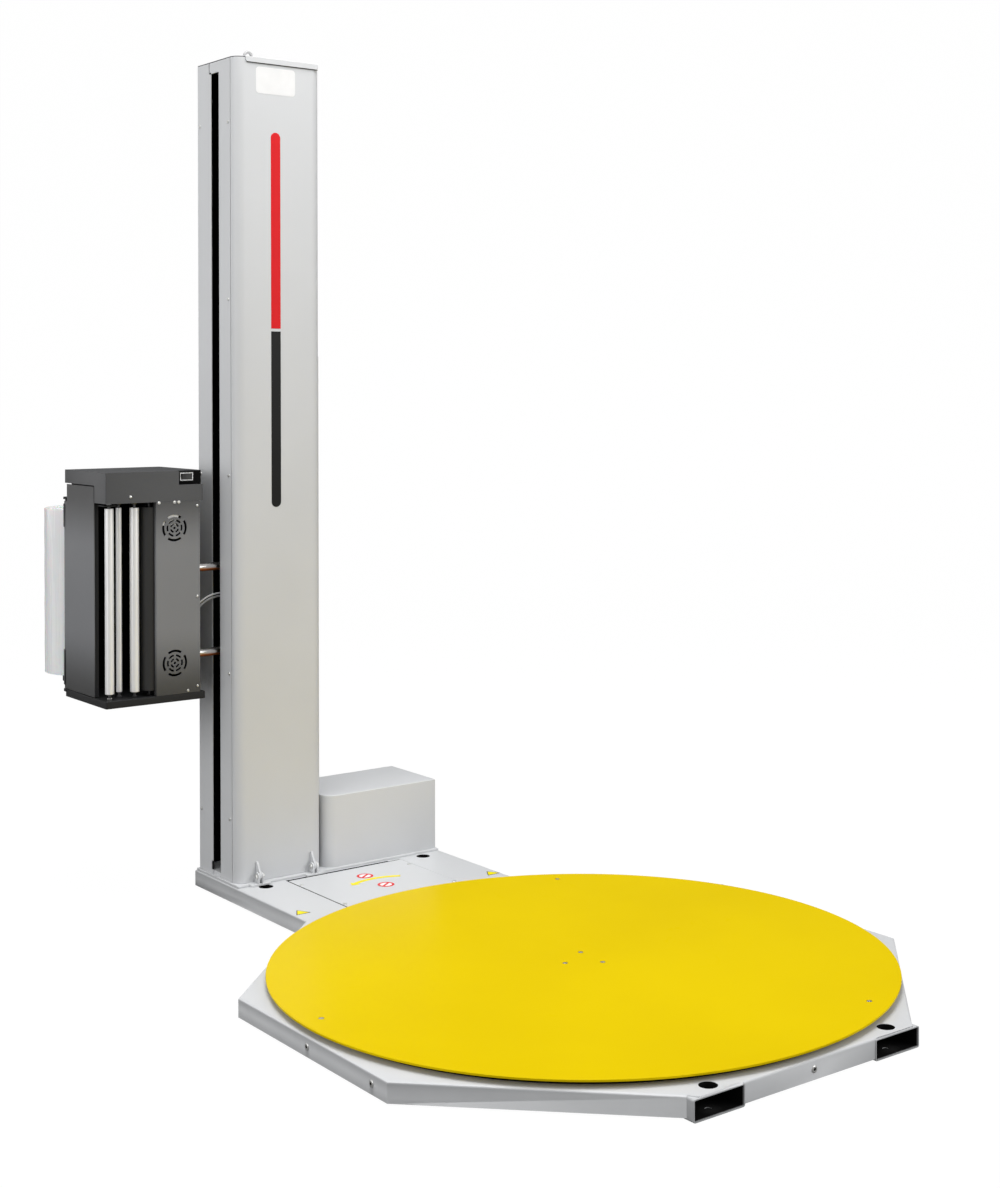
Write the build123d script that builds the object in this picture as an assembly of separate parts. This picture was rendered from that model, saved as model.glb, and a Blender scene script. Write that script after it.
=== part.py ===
from build123d import *
import math
import os

# Turntable pallet wrapper, in millimetres. +Z is up and the origin is on the floor, on the turntable's axis.
# +Y runs from the turntable to the mast, and the film carriage hangs on the mast's -X side.

os.makedirs("parts", exist_ok=True)

RUNNING_GAP = 0.05        # radial clearance of a shaft in its hole
SEAT_GAP = 0.3            # clearance between faces that move past each other
ROOT_2 = math.sqrt(2)

# Turntable: a round plate on a central hub, carried near its rim by support wheels
TABLE_R = 750.0
TABLE_TOP = 68.0
TABLE_THICK = 5.0
TABLE_BOTTOM = TABLE_TOP - TABLE_THICK
TRACK_R = TABLE_R - 110
TRACK_WIDTH = 60.0
TRACK_THICK = 3.0
WHEEL_R = 22.0
WHEEL_WIDTH = 26.0
WHEEL_PIN_R = 5.0
WHEEL_CHEEK = 4.0
WHEEL_CHEEK_HALF = 14.0
WHEEL_ANGLES = (0, 50, 130, 180, 230, 310)
FOOT_HALF_Y = 150.0
FOOT_THICK = 8.0
SPINDLE_R = 20.0
SHOULDER_R = SPINDLE_R + 7
SHOULDER_TOP = FOOT_THICK + 4
HUB_R = 45.0
HUB_BORE = 35.0
HUB_FLANGE_R = 78.0
HUB_FLANGE_THICK = 9.0
CENTRE_SCREW_R = 52.0
RIM_SCREW_R = TABLE_R - 50
TABLE_SCREW_ANGLES = (57, 177, 297)
SCREW_R = 4.0
SCREW_HEAD_R = 6.5
SCREW_HEAD_H = 2.0
SCREW_SINK = 3.0
NUT_R = 8.0
NUT_HEIGHT = 7.0

# Base: a folded octagonal deck on the floor, with two fork tubes below it and a bridge to the mast
DECK_TOP = 50.0
SHEET = 3.0
SKIRT_GAP = 5.0
OCTAGON_HALF = TABLE_R + 4
DECK_EDGE_R = 5.0
FORK_TOP = DECK_TOP - SHEET
FORK_INNER_X = 192.0
FORK_WIDTH = 139.0
FORK_OUTER_X = FORK_INNER_X + FORK_WIDTH
FORK_WALL = 3.0
FORK_PROUD = 2.0
BRIDGE_HALF = FORK_OUTER_X + SHEET + 2
MAST_SETBACK = 370.0
MAST_DEPTH = 228.0
MAST_FRONT = TABLE_R + MAST_SETBACK
MAST_BACK = MAST_FRONT + MAST_DEPTH
BASE_BACK = MAST_BACK + 12
STEP_FRONT = MAST_FRONT - 16
STEP_THICK = 6.0
STEP_TOP = DECK_TOP + STEP_THICK
ANCHOR_X = FORK_INNER_X + FORK_WIDTH / 2
ANCHOR_YS = (32 - OCTAGON_HALF, STEP_FRONT - 26)
ANCHOR_R = 7.0
ANCHOR_ACCESS_R = 17.0
MEMBER_WIDTH = 40.0
MEMBER_HEIGHT = 17.0
MEMBER_PLACES = (OCTAGON_HALF - 144, OCTAGON_HALF / 2 + 3, FOOT_HALF_Y + 40)
MEMBER_YS = [side * y for y in MEMBER_PLACES for side in (-1, 1)]
SKIRT_BOLT_YS = (4.0, -254.0)
SKIRT_BOLT_X = 7.0
HATCH_RIM = 25.0
HATCH_LEDGE = 20.0
HATCH_HALF = FORK_INNER_X - 3.5
HATCH_FRONT = TABLE_R - 10
HATCH_BACK = STEP_FRONT - 8
HATCH_GAP = 1.5
HATCH_SCREW_X = HATCH_HALF - 10.5
HATCH_SCREW_YS = (HATCH_FRONT + 57, HATCH_BACK - 68.5)

# Chain drive from the gearmotor in the cabinet
CHAIN_PITCH = 12.7
BIG_TEETH = 54
SMALL_TEETH = 18
CHAIN_LOW = 16.0
CHAIN_HIGH = 24.0
CHAIN_BAND = 5.0
SHAFT_R = 8.0
SHAFT_HOLE_R = SHAFT_R + 6
DRIVE_X = 110.0
DRIVE_Y = MAST_FRONT + 120
GEARBOX = 90.0
TURN_MOTOR_R = 40.0
TURN_MOTOR_LENGTH = 120.0
FAN_COWL_R = 36.0
FAN_COWL_LENGTH = 30.0

# Mast: a hollow column of folded panels, hinged at its front foot so that it folds over the table
MAST_LEFT = -327.5
MAST_WIDTH = 272.5
MAST_RIGHT = MAST_LEFT + MAST_WIDTH
MAST_SEAM = MAST_FRONT + 30
MAST_TOP = 2355.0
MAST_CORNER_R = 30.0
MAST_SHEET = 2.5
MAST_FOOT_Z = STEP_TOP + SEAT_GAP
ARM_Y = MAST_FRONT + 124
SLOT_HALF = 21.0
SLOT_FRONT = ARM_Y - SLOT_HALF
SLOT_BACK = ARM_Y + SLOT_HALF
SLOT_TOP = MAST_TOP - 45
FOOT_PLATE = 10.0
HINGE_Y = STEP_FRONT
HINGE_Z = STEP_TOP + 18
HINGE_PIN_R = 5.0
HINGE_CHEEK = 5.0
HINGE_CHEEK_R = 11.0
HINGE_HEAD_R = 8.0
LUG_GAP = 0.5
STEP_TAB = 30.0
LUG_XS = (MAST_LEFT + 59.5, MAST_RIGHT - 39)
LUG_THICK = 6.0
LUG_TOP = HINGE_Z + 39
CAP_THICK = 3.0
CAP_FLANGE = 15.0
EYE_X = MAST_LEFT + 105.5
EYE_R = 15.0
EYE_HOLE_R = 9.0
EYE_THICK = 8.0
EYE_COLLAR_R = 11.0
EYE_COLLAR = 13.0
PANEL_SCREW_R = 5.0
FRONT_SCREW_ZS = (230.0, 637.0, 1190.0, 1682.0, MAST_TOP - 180)
REAR_SCREW_ZS = (230.0, 1190.0, MAST_TOP - 175)

# Cabinet over the turntable's gearmotor, and the service cover with the buttons above it
SIDE_COVER_THICK = 4.0
SIDE_COVER_TOP = 1525.0
CABINET_LEFT = MAST_RIGHT + SIDE_COVER_THICK + 4
CABINET_RIGHT = BRIDGE_HALF - 8
CABINET_FRONT = MAST_FRONT - 9
CABINET_BACK = MAST_BACK + 4
CABINET_TOP = 263.0
CABINET_CORNER_R = 36.0
GLAND_R = 8.0
GLAND_BORE = 4.0
SIDE_COVER_BOTTOM = CABINET_TOP + 9
SIDE_SCREW_ZS = [SIDE_COVER_TOP - drop for drop in (7, 458, 906)]
BUTTON_Y = MAST_FRONT + 115
START_Z = SIDE_COVER_TOP - 235
STOP_Z = START_Z - 70
BUTTON_R = 11.0
BUTTON_TRAVEL = 4.0
COLLAR_R = 15.0
COLLAR_PROUD = 6.0
MUSHROOM_R = 18.0

# Lift: two round rails, a trolley on them and a belt over two pulleys
RAIL_X = MAST_LEFT + 97.5
RAIL_R = 12.5
RAIL_SPREAD = 52.0
RAIL_YS = (ARM_Y - RAIL_SPREAD, ARM_Y + RAIL_SPREAD)
RAIL_TOP = MAST_TOP - 25
TROLLEY_HALF_X = 32.0
TROLLEY_OVERHANG = 37.0
TROLLEY_WALL = 22.0
PULLEY_R = 28.0
PULLEY_WIDTH = 18.0
PULLEY_PIN_R = 6.0
BELT_THICK = 3.0
BELT_X = RAIL_X + TROLLEY_HALF_X + 12
BELT_LOW_Z = 130.0
BELT_HIGH_Z = MAST_TOP - 75
HEAD_PLATE_THICK = 10.0
HEAD_PLATE_LEFT = RAIL_X - 30
HEAD_PLATE_RIGHT = BELT_X + 60
LIFT_GEARBOX = (70.0, 90.0)
LIFT_MOTOR_R = 34.0
LIFT_MOTOR_LENGTH = 140.0

# Film carriage: a tray and a head joined by the gear housing, with the rollers between them
CAR_RIGHT = MAST_LEFT - 50.5
CAR_WIDTH = 294.0
CAR_DEPTH = 275.0
CAR_LEFT = CAR_RIGHT - CAR_WIDTH
CAR_FRONT = ARM_Y - 34
CAR_BACK = CAR_FRONT + CAR_DEPTH
CAR_BOTTOM = 569.0
CAR_SHEET = 3.0
TRAY_HEIGHT = 20.0
TRAY_TOP = CAR_BOTTOM + TRAY_HEIGHT
ROLLER_LENGTH = 504.0
ROLLER_LOW = TRAY_TOP + 15
ROLLER_HIGH = ROLLER_LOW + ROLLER_LENGTH
ROLLER_PIN_R = 4.0
HEAD_BOTTOM = ROLLER_HIGH + 14
HEAD_HEIGHT = 84.0
HEAD_RIGHT = CAR_RIGHT - 6
CAR_TOP = HEAD_BOTTOM + HEAD_HEIGHT
ARM_ZS = (CAR_BOTTOM + 123, CAR_BOTTOM + 363)
ARM_R = 8.5
HOUSING_RIGHT = CAR_RIGHT - 16
HOUSING_WIDTH = 104.0
HOUSING_LEFT = HOUSING_RIGHT - HOUSING_WIDTH
COVER_LEFT = HOUSING_LEFT - 27.5
GRILLE_X = HOUSING_RIGHT - 76.5
GRILLE_ZS = (TRAY_TOP + 86.5, HEAD_BOTTOM - 73.5)
GRILLE_SLOTS = ((6.0, 9.5), (16.0, 20.0), (29.0, 33.0))
DOOR_FRONT = CAR_FRONT + 78
DOOR_TOP = HEAD_BOTTOM + 44
DOOR_HINGE_X = CAR_LEFT + 8
DOOR_HINGE_Y = CAR_BACK + 9
DOOR_KNUCKLE_R = 8.0
DOOR_PIN_R = 3.0
LOW_KNUCKLE = (TRAY_TOP + 11, TRAY_TOP + 111)
HIGH_KNUCKLE = (HEAD_BOTTOM - 78, HEAD_BOTTOM - 12)
ROLLERS = {
    "exit_roller": (CAR_LEFT + 23, CAR_FRONT + 30, 12.0),
    "idler_roller": (CAR_LEFT + 60.5, CAR_FRONT + 52, 8.0),
    "feed_roller": (CAR_LEFT + 95, CAR_FRONT + 28, 12.5),
    "rubber_roller": (CAR_LEFT + 142, CAR_FRONT + 35, 25.0),
}
RECESS_LEFT = HEAD_RIGHT - 73
RECESS_BOTTOM = CAR_TOP - 39
RECESS_DEPTH = 14.0
SWITCH_X = RECESS_LEFT + 27.5
SWITCH_Z = CAR_TOP - 17
SWITCH_WIDTH = 43.0
SWITCH_HEIGHT = 26.0
SWITCH_FRAME = 4.0
ROCKER_TILT = 10.0
CORE_R = 41.0
CORE_BORE = 38.0
ROLL_R = 120.0
ROLL_LENGTH = 475.0
ROLL_X = CAR_LEFT + ROLL_R
ROLL_Y = CAR_BACK + ROLL_R + 5
ROLL_LOW = TRAY_TOP + 26
ROLL_HIGH = ROLL_LOW + ROLL_LENGTH
MANDREL_FLANGE_R = 70.0
ROLL_ARM_HALF = 50.0
STRETCH_GEARBOX = (84.0, 110.0, 80.0)
STRETCH_MOTOR_R = 38.0
STRETCH_MOTOR_LENGTH = 190.0
FIXING_R = 3.5
CABLE_R = 2.5
CABLE_ROUTES = (
    ((-262.6, 1240, 852), (-298, 1240, 856.5), (-334, 1240, 855), (-366, 1240, 845), (-392, 1240, 824)),
    ((-262.6, 1248, 843), (-298, 1248, 847), (-333, 1248, 845), (-364, 1248, 833), (-392, 1248, 808)),
)


def block(x0, x1, y0, y1, z0, z1):
    """A box between two corners."""
    centre = Location(((x0 + x1) / 2, (y0 + y1) / 2, (z0 + z1) / 2))
    return centre * Box(x1 - x0, y1 - y0, z1 - z0)


def rod(x, y, z0, z1, radius):
    """An upright cylinder."""
    return Pos(x, y, (z0 + z1) / 2) * Cylinder(radius, z1 - z0)


def rod_x(x0, x1, y, z, radius):
    """A cylinder along X."""
    return Pos((x0 + x1) / 2, y, z) * Rot(0, 90, 0) * Cylinder(radius, x1 - x0)


def rod_y(x, y0, y1, z, radius):
    """A cylinder along Y."""
    return Pos(x, (y0 + y1) / 2, z) * Rot(90, 0, 0) * Cylinder(radius, y1 - y0)


def pipe(x, y, z0, z1, radius, bore):
    """An upright tube."""
    return rod(x, y, z0, z1, radius) - rod(x, y, z0, z1, bore)


def prism(points, z0, z1):
    """An upright prism over a closed outline in XY."""
    return Pos(0, 0, z0) * extrude(make_face(Polyline(*points, close=True)), z1 - z0)


def keep(name, *pieces):
    """Write one node, as one solid or as a group of separate solids."""
    shape = pieces[0] if len(pieces) == 1 else Compound(children=list(pieces))
    export_step(shape, f"parts/{name}.step")


def pitch_radius(teeth):
    return CHAIN_PITCH / (2 * math.sin(math.pi / teeth))


def sprocket(x, y, teeth, bore):
    """A flat chain wheel with round tooth gaps."""
    radius = pitch_radius(teeth)
    blank = Circle(radius + 2) - Circle(bore)
    gaps = [Pos(radius * math.cos(a), radius * math.sin(a)) * Circle(3.6)
            for a in (2 * math.pi * i / teeth for i in range(teeth))]
    return Pos(x, y, CHAIN_LOW) * extrude(blank - gaps, CHAIN_HIGH - CHAIN_LOW)


def loop_outline(centre_a, radius_a, centre_b, radius_b):
    """The area inside a tight band round two circles."""
    ax, ay = centre_a
    bx, by = centre_b
    span = math.hypot(bx - ax, by - ay)
    along = math.atan2(by - ay, bx - ax)
    lean = math.acos((radius_a - radius_b) / span)
    corners = []
    for side, order in ((1, (0, 1)), (-1, (1, 0))):
        angle = along + side * lean
        ends = ((ax, ay, radius_a), (bx, by, radius_b))
        for end in order:
            cx, cy, radius = ends[end]
            corners.append((cx + radius * math.cos(angle), cy + radius * math.sin(angle)))
    quad = make_face(Polyline(*corners, close=True))
    return quad + Pos(ax, ay) * Circle(radius_a) + Pos(bx, by) * Circle(radius_b)


# ---------------------------------------------------------------- base

corner = OCTAGON_HALF * math.tan(math.radians(22.5))
octagon = [(corner, -OCTAGON_HALF), (OCTAGON_HALF, -corner), (OCTAGON_HALF, corner),
           (corner, OCTAGON_HALF), (-corner, OCTAGON_HALF), (-OCTAGON_HALF, corner),
           (-OCTAGON_HALF, -corner), (-corner, -OCTAGON_HALF)]
outline = make_face(Polyline(*octagon, close=True))
outline += make_face(Polyline((-BRIDGE_HALF, 0), (BRIDGE_HALF, 0), (BRIDGE_HALF, BASE_BACK),
                              (-BRIDGE_HALF, BASE_BACK), close=True))
outer = Pos(0, 0, SKIRT_GAP) * extrude(outline, DECK_TOP - SKIRT_GAP)
outer = fillet(outer.edges().group_by(Axis.Z)[-1], DECK_EDGE_R)
inside = offset(outline, amount=-SHEET, kind=Kind.INTERSECTION)
deck = outer - Pos(0, 0, SKIRT_GAP) * extrude(inside, DECK_TOP - SHEET - SKIRT_GAP)
hub_hole_r = HUB_R + 20
deck -= rod(0, 0, 0, DECK_TOP, hub_hole_r)
deck -= block(-HATCH_HALF - HATCH_GAP, HATCH_HALF + HATCH_GAP,
              HATCH_FRONT - HATCH_GAP, HATCH_BACK + HATCH_GAP, FORK_TOP, DECK_TOP)
deck -= rod(DRIVE_X, DRIVE_Y, 0, DECK_TOP, SHAFT_HOLE_R)
for side in (-1, 1):
    x0, x1 = sorted((side * FORK_INNER_X, side * FORK_OUTER_X))
    deck -= block(x0, x1, -OCTAGON_HALF, BASE_BACK, 0, FORK_TOP)
    for y in ANCHOR_YS:
        deck -= rod(side * ANCHOR_X, y, 0, DECK_TOP, ANCHOR_ACCESS_R)
wheel_slot = block(TRACK_R - WHEEL_WIDTH, TRACK_R + WHEEL_WIDTH, -WHEEL_R - 4, WHEEL_R + 4, SKIRT_GAP, DECK_TOP)
for angle in WHEEL_ANGLES:
    deck -= Rot(0, 0, angle) * wheel_slot
keep("base_deck", deck)

tubes = []
for side in (-1, 1):
    x0, x1 = sorted((side * FORK_INNER_X, side * FORK_OUTER_X))
    y0, y1 = -OCTAGON_HALF - FORK_PROUD, BASE_BACK
    tube = block(x0, x1, y0, y1, 0, FORK_TOP)
    tube -= block(x0 + FORK_WALL, x1 - FORK_WALL, y0, y1, FORK_WALL, FORK_TOP - FORK_WALL)
    for y in ANCHOR_YS:
        tube -= rod(side * ANCHOR_X, y, 0, FORK_WALL, ANCHOR_R)
        tube -= rod(side * ANCHOR_X, y, FORK_TOP - FORK_WALL, FORK_TOP, ANCHOR_ACCESS_R)
    tubes.append(tube)
keep("fork_tubes", *tubes)

members = []
member_low = FORK_TOP - MEMBER_HEIGHT
for y in MEMBER_YS:
    side_reach = OCTAGON_HALF - SHEET
    slanted = OCTAGON_HALF * ROOT_2 - abs(y) - MEMBER_WIDTH / 2 - SHEET * ROOT_2
    reach = min(side_reach, slanted)
    members.append(block(-FORK_INNER_X, FORK_INNER_X, y - MEMBER_WIDTH / 2, y + MEMBER_WIDTH / 2,
                         member_low, FORK_TOP))
    for side in (-1, 1):
        x0, x1 = sorted((side * FORK_OUTER_X, side * reach))
        members.append(block(x0, x1, y - MEMBER_WIDTH / 2, y + MEMBER_WIDTH / 2, member_low, FORK_TOP))
rim = block(-FORK_INNER_X, FORK_INNER_X, HATCH_FRONT - HATCH_RIM, HATCH_BACK + HATCH_RIM,
            FORK_TOP - SHEET, FORK_TOP)
rim -= block(-HATCH_HALF + HATCH_LEDGE, HATCH_HALF - HATCH_LEDGE, HATCH_FRONT + HATCH_LEDGE,
             HATCH_BACK - HATCH_LEDGE, 0, FORK_TOP)
for side in (-1, 1):
    for y in HATCH_SCREW_YS:
        rim -= rod(side * HATCH_SCREW_X, y, 0, FORK_TOP, SCREW_R)
members.append(rim)
keep("cross_members", *members)

hatch = block(-HATCH_HALF, HATCH_HALF, HATCH_FRONT, HATCH_BACK, FORK_TOP, DECK_TOP)
screws = []
for side in (-1, 1):
    for y in HATCH_SCREW_YS:
        x = side * HATCH_SCREW_X
        hatch -= rod(x, y, FORK_TOP, DECK_TOP, SCREW_R)
        screws.append(rod(x, y, FORK_TOP - SHEET, DECK_TOP, SCREW_R)
                      + rod(x, y, DECK_TOP, DECK_TOP + SCREW_HEAD_H, SCREW_HEAD_R))
keep("hatch_plate", hatch)
skirt_z = (SKIRT_GAP + DECK_TOP) / 2
for y in SKIRT_BOLT_YS:
    screws.append(rod_x(-OCTAGON_HALF - SCREW_HEAD_H, -OCTAGON_HALF, y, skirt_z, SCREW_HEAD_R))
screws.append(rod_y(SKIRT_BOLT_X, -OCTAGON_HALF - SCREW_HEAD_H, -OCTAGON_HALF, skirt_z, SCREW_HEAD_R))
keep("base_screws", *screws)

# Centre foot: a thick plate between the fork tubes, with the spindle that the hub turns on
foot = block(-FORK_INNER_X, FORK_INNER_X, -FOOT_HALF_Y, FOOT_HALF_Y, 0, FOOT_THICK)
foot += rod(0, 0, 0, SHOULDER_TOP, SHOULDER_R)
foot += rod(0, 0, 0, DECK_TOP, SPINDLE_R)
keep("centre_foot", foot)

# Support wheels in forked brackets that hang below the deck
wheel_top = TABLE_BOTTOM - TRACK_THICK - SEAT_GAP
wheel_z = wheel_top - WHEEL_R
cheek_gap = WHEEL_WIDTH / 2 + 1
mounts = []
for angle in WHEEL_ANGLES:
    turn = Rot(0, 0, angle)
    for side in (-1, 1):
        r0, r1 = sorted((TRACK_R + side * cheek_gap, TRACK_R + side * (cheek_gap + WHEEL_CHEEK)))
        low, high = wheel_z - 12, wheel_z + 8
        cheek = block(r0, r1, -WHEEL_CHEEK_HALF, WHEEL_CHEEK_HALF, low, high)
        shelf = block(*sorted((TRACK_R + side * (WHEEL_WIDTH + 12), TRACK_R + side * cheek_gap)),
                      -WHEEL_CHEEK_HALF, WHEEL_CHEEK_HALF, FORK_TOP - WHEEL_CHEEK, FORK_TOP)
        cheek += shelf & block(0, OCTAGON_HALF - SHEET, -50, 50, 0, FORK_TOP)
        cheek -= rod_x(r0, r1, 0, wheel_z, WHEEL_PIN_R)
        mounts.append(turn * cheek)
    axle_half = cheek_gap + WHEEL_CHEEK
    mounts.append(turn * rod_x(TRACK_R - axle_half, TRACK_R + axle_half, 0, wheel_z, WHEEL_PIN_R))
keep("wheel_mounts", *mounts)

for number, angle in enumerate(WHEEL_ANGLES, 1):
    wheel = rod_x(TRACK_R - WHEEL_WIDTH / 2, TRACK_R + WHEEL_WIDTH / 2, 0, wheel_z, WHEEL_R)
    wheel -= rod_x(TRACK_R - WHEEL_WIDTH, TRACK_R + WHEEL_WIDTH, 0, wheel_z, WHEEL_PIN_R + RUNNING_GAP)
    wheel = chamfer(wheel.edges().filter_by(GeomType.CIRCLE).sort_by(SortBy.RADIUS)[-2:], 1.5)
    keep(f"support_wheel_{number}", Rot(0, 0, angle) * wheel)

# ---------------------------------------------------------------- turntable

table = rod(0, 0, TABLE_BOTTOM, TABLE_TOP, TABLE_R)
table = fillet(table.edges().group_by(Axis.Z)[-1], 1.5)
flange_low = TABLE_BOTTOM - HUB_FLANGE_THICK
hub = pipe(0, 0, SHOULDER_TOP + 1, flange_low, HUB_R, HUB_BORE)
hub += rod(0, 0, flange_low, TABLE_BOTTOM, HUB_FLANGE_R)
hub += pipe(0, 0, CHAIN_HIGH, CHAIN_HIGH + 6, HUB_R + 15, HUB_R)
nut_low = TABLE_BOTTOM - NUT_HEIGHT
seat = TABLE_TOP - SCREW_SINK
table_screws = []
for radius in (CENTRE_SCREW_R, RIM_SCREW_R):
    for angle in TABLE_SCREW_ANGLES:
        x = radius * math.cos(math.radians(angle))
        y = radius * math.sin(math.radians(angle))
        table -= rod(x, y, TABLE_BOTTOM, TABLE_TOP, SCREW_R)
        table -= rod(x, y, seat, TABLE_TOP, SCREW_HEAD_R + RUNNING_GAP)
        screw = rod(x, y, nut_low, seat, SCREW_R) + rod(x, y, seat, TABLE_TOP - 0.5, SCREW_HEAD_R)
        table_screws.append(screw)
        if radius == RIM_SCREW_R:
            nut = Pos(x, y, nut_low) * extrude(RegularPolygon(NUT_R, 6), NUT_HEIGHT)
            table_screws.append(nut - rod(x, y, nut_low, TABLE_BOTTOM, SCREW_R))
        else:
            hub -= rod(x, y, nut_low, TABLE_BOTTOM, SCREW_R)
keep("turntable_plate", table)
keep("turntable_hub", hub)
keep("turntable_screws", *table_screws)
keep("hub_bearing", pipe(0, 0, SHOULDER_TOP + SEAT_GAP, CHAIN_HIGH + 8, HUB_BORE - 0.02,
                         SPINDLE_R + RUNNING_GAP))
keep("hub_sprocket", sprocket(0, 0, BIG_TEETH, HUB_R))
keep("wheel_track", pipe(0, 0, TABLE_BOTTOM - TRACK_THICK, TABLE_BOTTOM,
                         TRACK_R + TRACK_WIDTH / 2, TRACK_R - TRACK_WIDTH / 2))

# ---------------------------------------------------------------- chain drive and cabinet

big_r = pitch_radius(BIG_TEETH) + 2 + SEAT_GAP
small_r = pitch_radius(SMALL_TEETH) + 2 + SEAT_GAP
drive_at = (DRIVE_X, DRIVE_Y)
chain_area = (loop_outline((0, 0), big_r + CHAIN_BAND, drive_at, small_r + CHAIN_BAND)
              - loop_outline((0, 0), big_r, drive_at, small_r))
keep("drive_chain", Pos(0, 0, CHAIN_LOW) * extrude(chain_area, CHAIN_HIGH - CHAIN_LOW))

shaft_top = STEP_TOP + GEARBOX * 0.6
pinion = sprocket(DRIVE_X, DRIVE_Y, SMALL_TEETH, SHAFT_R / 2)
keep("drive_sprocket", pinion + rod(DRIVE_X, DRIVE_Y, CHAIN_LOW - 4, shaft_top, SHAFT_R))

step = block(-BRIDGE_HALF + 2, BRIDGE_HALF - 2, STEP_FRONT - HINGE_CHEEK_R - 3, BASE_BACK - 6,
             DECK_TOP, STEP_TOP)
step -= block(-BRIDGE_HALF, LUG_XS[0] - STEP_TAB, 0, STEP_FRONT, DECK_TOP, STEP_TOP)
step -= block(LUG_XS[1] + STEP_TAB, BRIDGE_HALF, 0, STEP_FRONT, DECK_TOP, STEP_TOP)
step -= block(LUG_XS[0] + STEP_TAB, LUG_XS[1] - STEP_TAB, 0, STEP_FRONT, DECK_TOP, STEP_TOP)
step -= rod(DRIVE_X, DRIVE_Y, DECK_TOP, STEP_TOP, SHAFT_HOLE_R)
for side in (-1, 1):
    step -= rod(side * ANCHOR_X, ANCHOR_YS[1], DECK_TOP, STEP_TOP, ANCHOR_ACCESS_R)
keep("mast_base_plate", step)

gearbox = block(DRIVE_X - GEARBOX / 2, DRIVE_X + GEARBOX / 2, DRIVE_Y - GEARBOX / 2, DRIVE_Y + GEARBOX / 2,
                STEP_TOP, STEP_TOP + GEARBOX)
gearbox = fillet(gearbox.edges().filter_by(Axis.Z), 10)
motor_z = STEP_TOP + GEARBOX * 0.55
motor_left = DRIVE_X + GEARBOX / 2
motor_right = motor_left + TURN_MOTOR_LENGTH
gearbox += rod_x(motor_left, motor_right, DRIVE_Y, motor_z, TURN_MOTOR_R)
gearbox += rod_x(motor_right, motor_right + FAN_COWL_LENGTH, DRIVE_Y, motor_z, FAN_COWL_R)
gearbox -= rod(DRIVE_X, DRIVE_Y, STEP_TOP, shaft_top + 2, SHAFT_R + RUNNING_GAP)
keep("turn_gearmotor", gearbox)

cabinet = block(CABINET_LEFT, CABINET_RIGHT, CABINET_FRONT, CABINET_BACK, STEP_TOP, CABINET_TOP)
hollow = block(CABINET_LEFT + SHEET, CABINET_RIGHT - SHEET, CABINET_FRONT + SHEET, CABINET_BACK - SHEET,
               STEP_TOP, CABINET_TOP - SHEET)
front_left = cabinet.edges().filter_by(Axis.Z).sort_by(Axis.X)[:2].sort_by(Axis.Y)[:1]
inner_left = hollow.edges().filter_by(Axis.Z).sort_by(Axis.X)[:2].sort_by(Axis.Y)[:1]
cabinet = fillet(front_left, CABINET_CORNER_R)
cabinet = fillet(cabinet.edges().group_by(Axis.Z)[-1], 2)
cabinet -= fillet(inner_left, CABINET_CORNER_R - SHEET)
gland_x, gland_z = CABINET_RIGHT - 60, STEP_TOP + 45
cabinet -= rod_y(gland_x, CABINET_BACK - SHEET, CABINET_BACK, gland_z, GLAND_R)
keep("cabinet_cover", cabinet)
gland_front, gland_back = CABINET_BACK - SHEET - 8, CABINET_BACK + 14
gland = rod_y(gland_x, gland_front, gland_back, gland_z, GLAND_R)
gland += Pos(gland_x, CABINET_BACK, gland_z) * Rot(-90, 0, 0) * extrude(RegularPolygon(12, 6), 6)
gland -= rod_y(gland_x, gland_front, gland_back, gland_z, GLAND_BORE)
keep("cable_gland", gland)

# ---------------------------------------------------------------- mast

def mast_section(margin):
    """The mast's outline in XY, with rounded front corners, moved inwards by a margin."""
    left, right = MAST_LEFT + margin, MAST_RIGHT - margin
    front, back = MAST_FRONT + margin, MAST_BACK - margin
    face = make_face(Polyline((left, front), (right, front), (right, back), (left, back), close=True))
    return fillet(face.vertices().group_by(Axis.Y)[0], MAST_CORNER_R - margin)


wall = mast_section(0) - mast_section(MAST_SHEET)
panel_top = MAST_TOP - CAP_THICK
shell = Pos(0, 0, MAST_FOOT_Z) * extrude(wall, panel_top - MAST_FOOT_Z)
everywhere = 3000.0
front_zone = block(-everywhere, everywhere, 0, MAST_SEAM, 0, everywhere)
inner_left_x = MAST_LEFT + MAST_SHEET
inner_right_x = MAST_RIGHT - MAST_SHEET
keep("mast_front_cover", shell & front_zone)
front_strip = block(MAST_LEFT, inner_left_x, MAST_SEAM, SLOT_FRONT, MAST_FOOT_Z, panel_top)
foot_top = MAST_FOOT_Z + FOOT_PLATE
front_strip += block(inner_left_x, inner_left_x + 12, SLOT_FRONT - MAST_SHEET, SLOT_FRONT,
                     foot_top, panel_top)
rear_strip = block(MAST_LEFT, inner_left_x, SLOT_BACK, MAST_BACK - MAST_SHEET, MAST_FOOT_Z, panel_top)
rear_strip += block(MAST_LEFT, inner_left_x, SLOT_FRONT + 1, SLOT_BACK, SLOT_TOP, panel_top)
keep("mast_side_strips", front_strip, rear_strip)
keep("mast_back_panel", block(MAST_LEFT, MAST_RIGHT, MAST_BACK - MAST_SHEET, MAST_BACK,
                              MAST_FOOT_Z, panel_top))
keep("mast_right_panel", block(inner_right_x, MAST_RIGHT, MAST_SEAM, MAST_BACK - MAST_SHEET,
                               MAST_FOOT_Z, panel_top))
cap = Pos(0, 0, panel_top) * extrude(mast_section(0), CAP_THICK)
cap += block(MAST_LEFT + MAST_CORNER_R, MAST_RIGHT - MAST_CORNER_R, MAST_FRONT - CAP_THICK, MAST_FRONT,
             MAST_TOP - CAP_FLANGE, MAST_TOP)
keep("mast_cap", cap)
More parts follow.
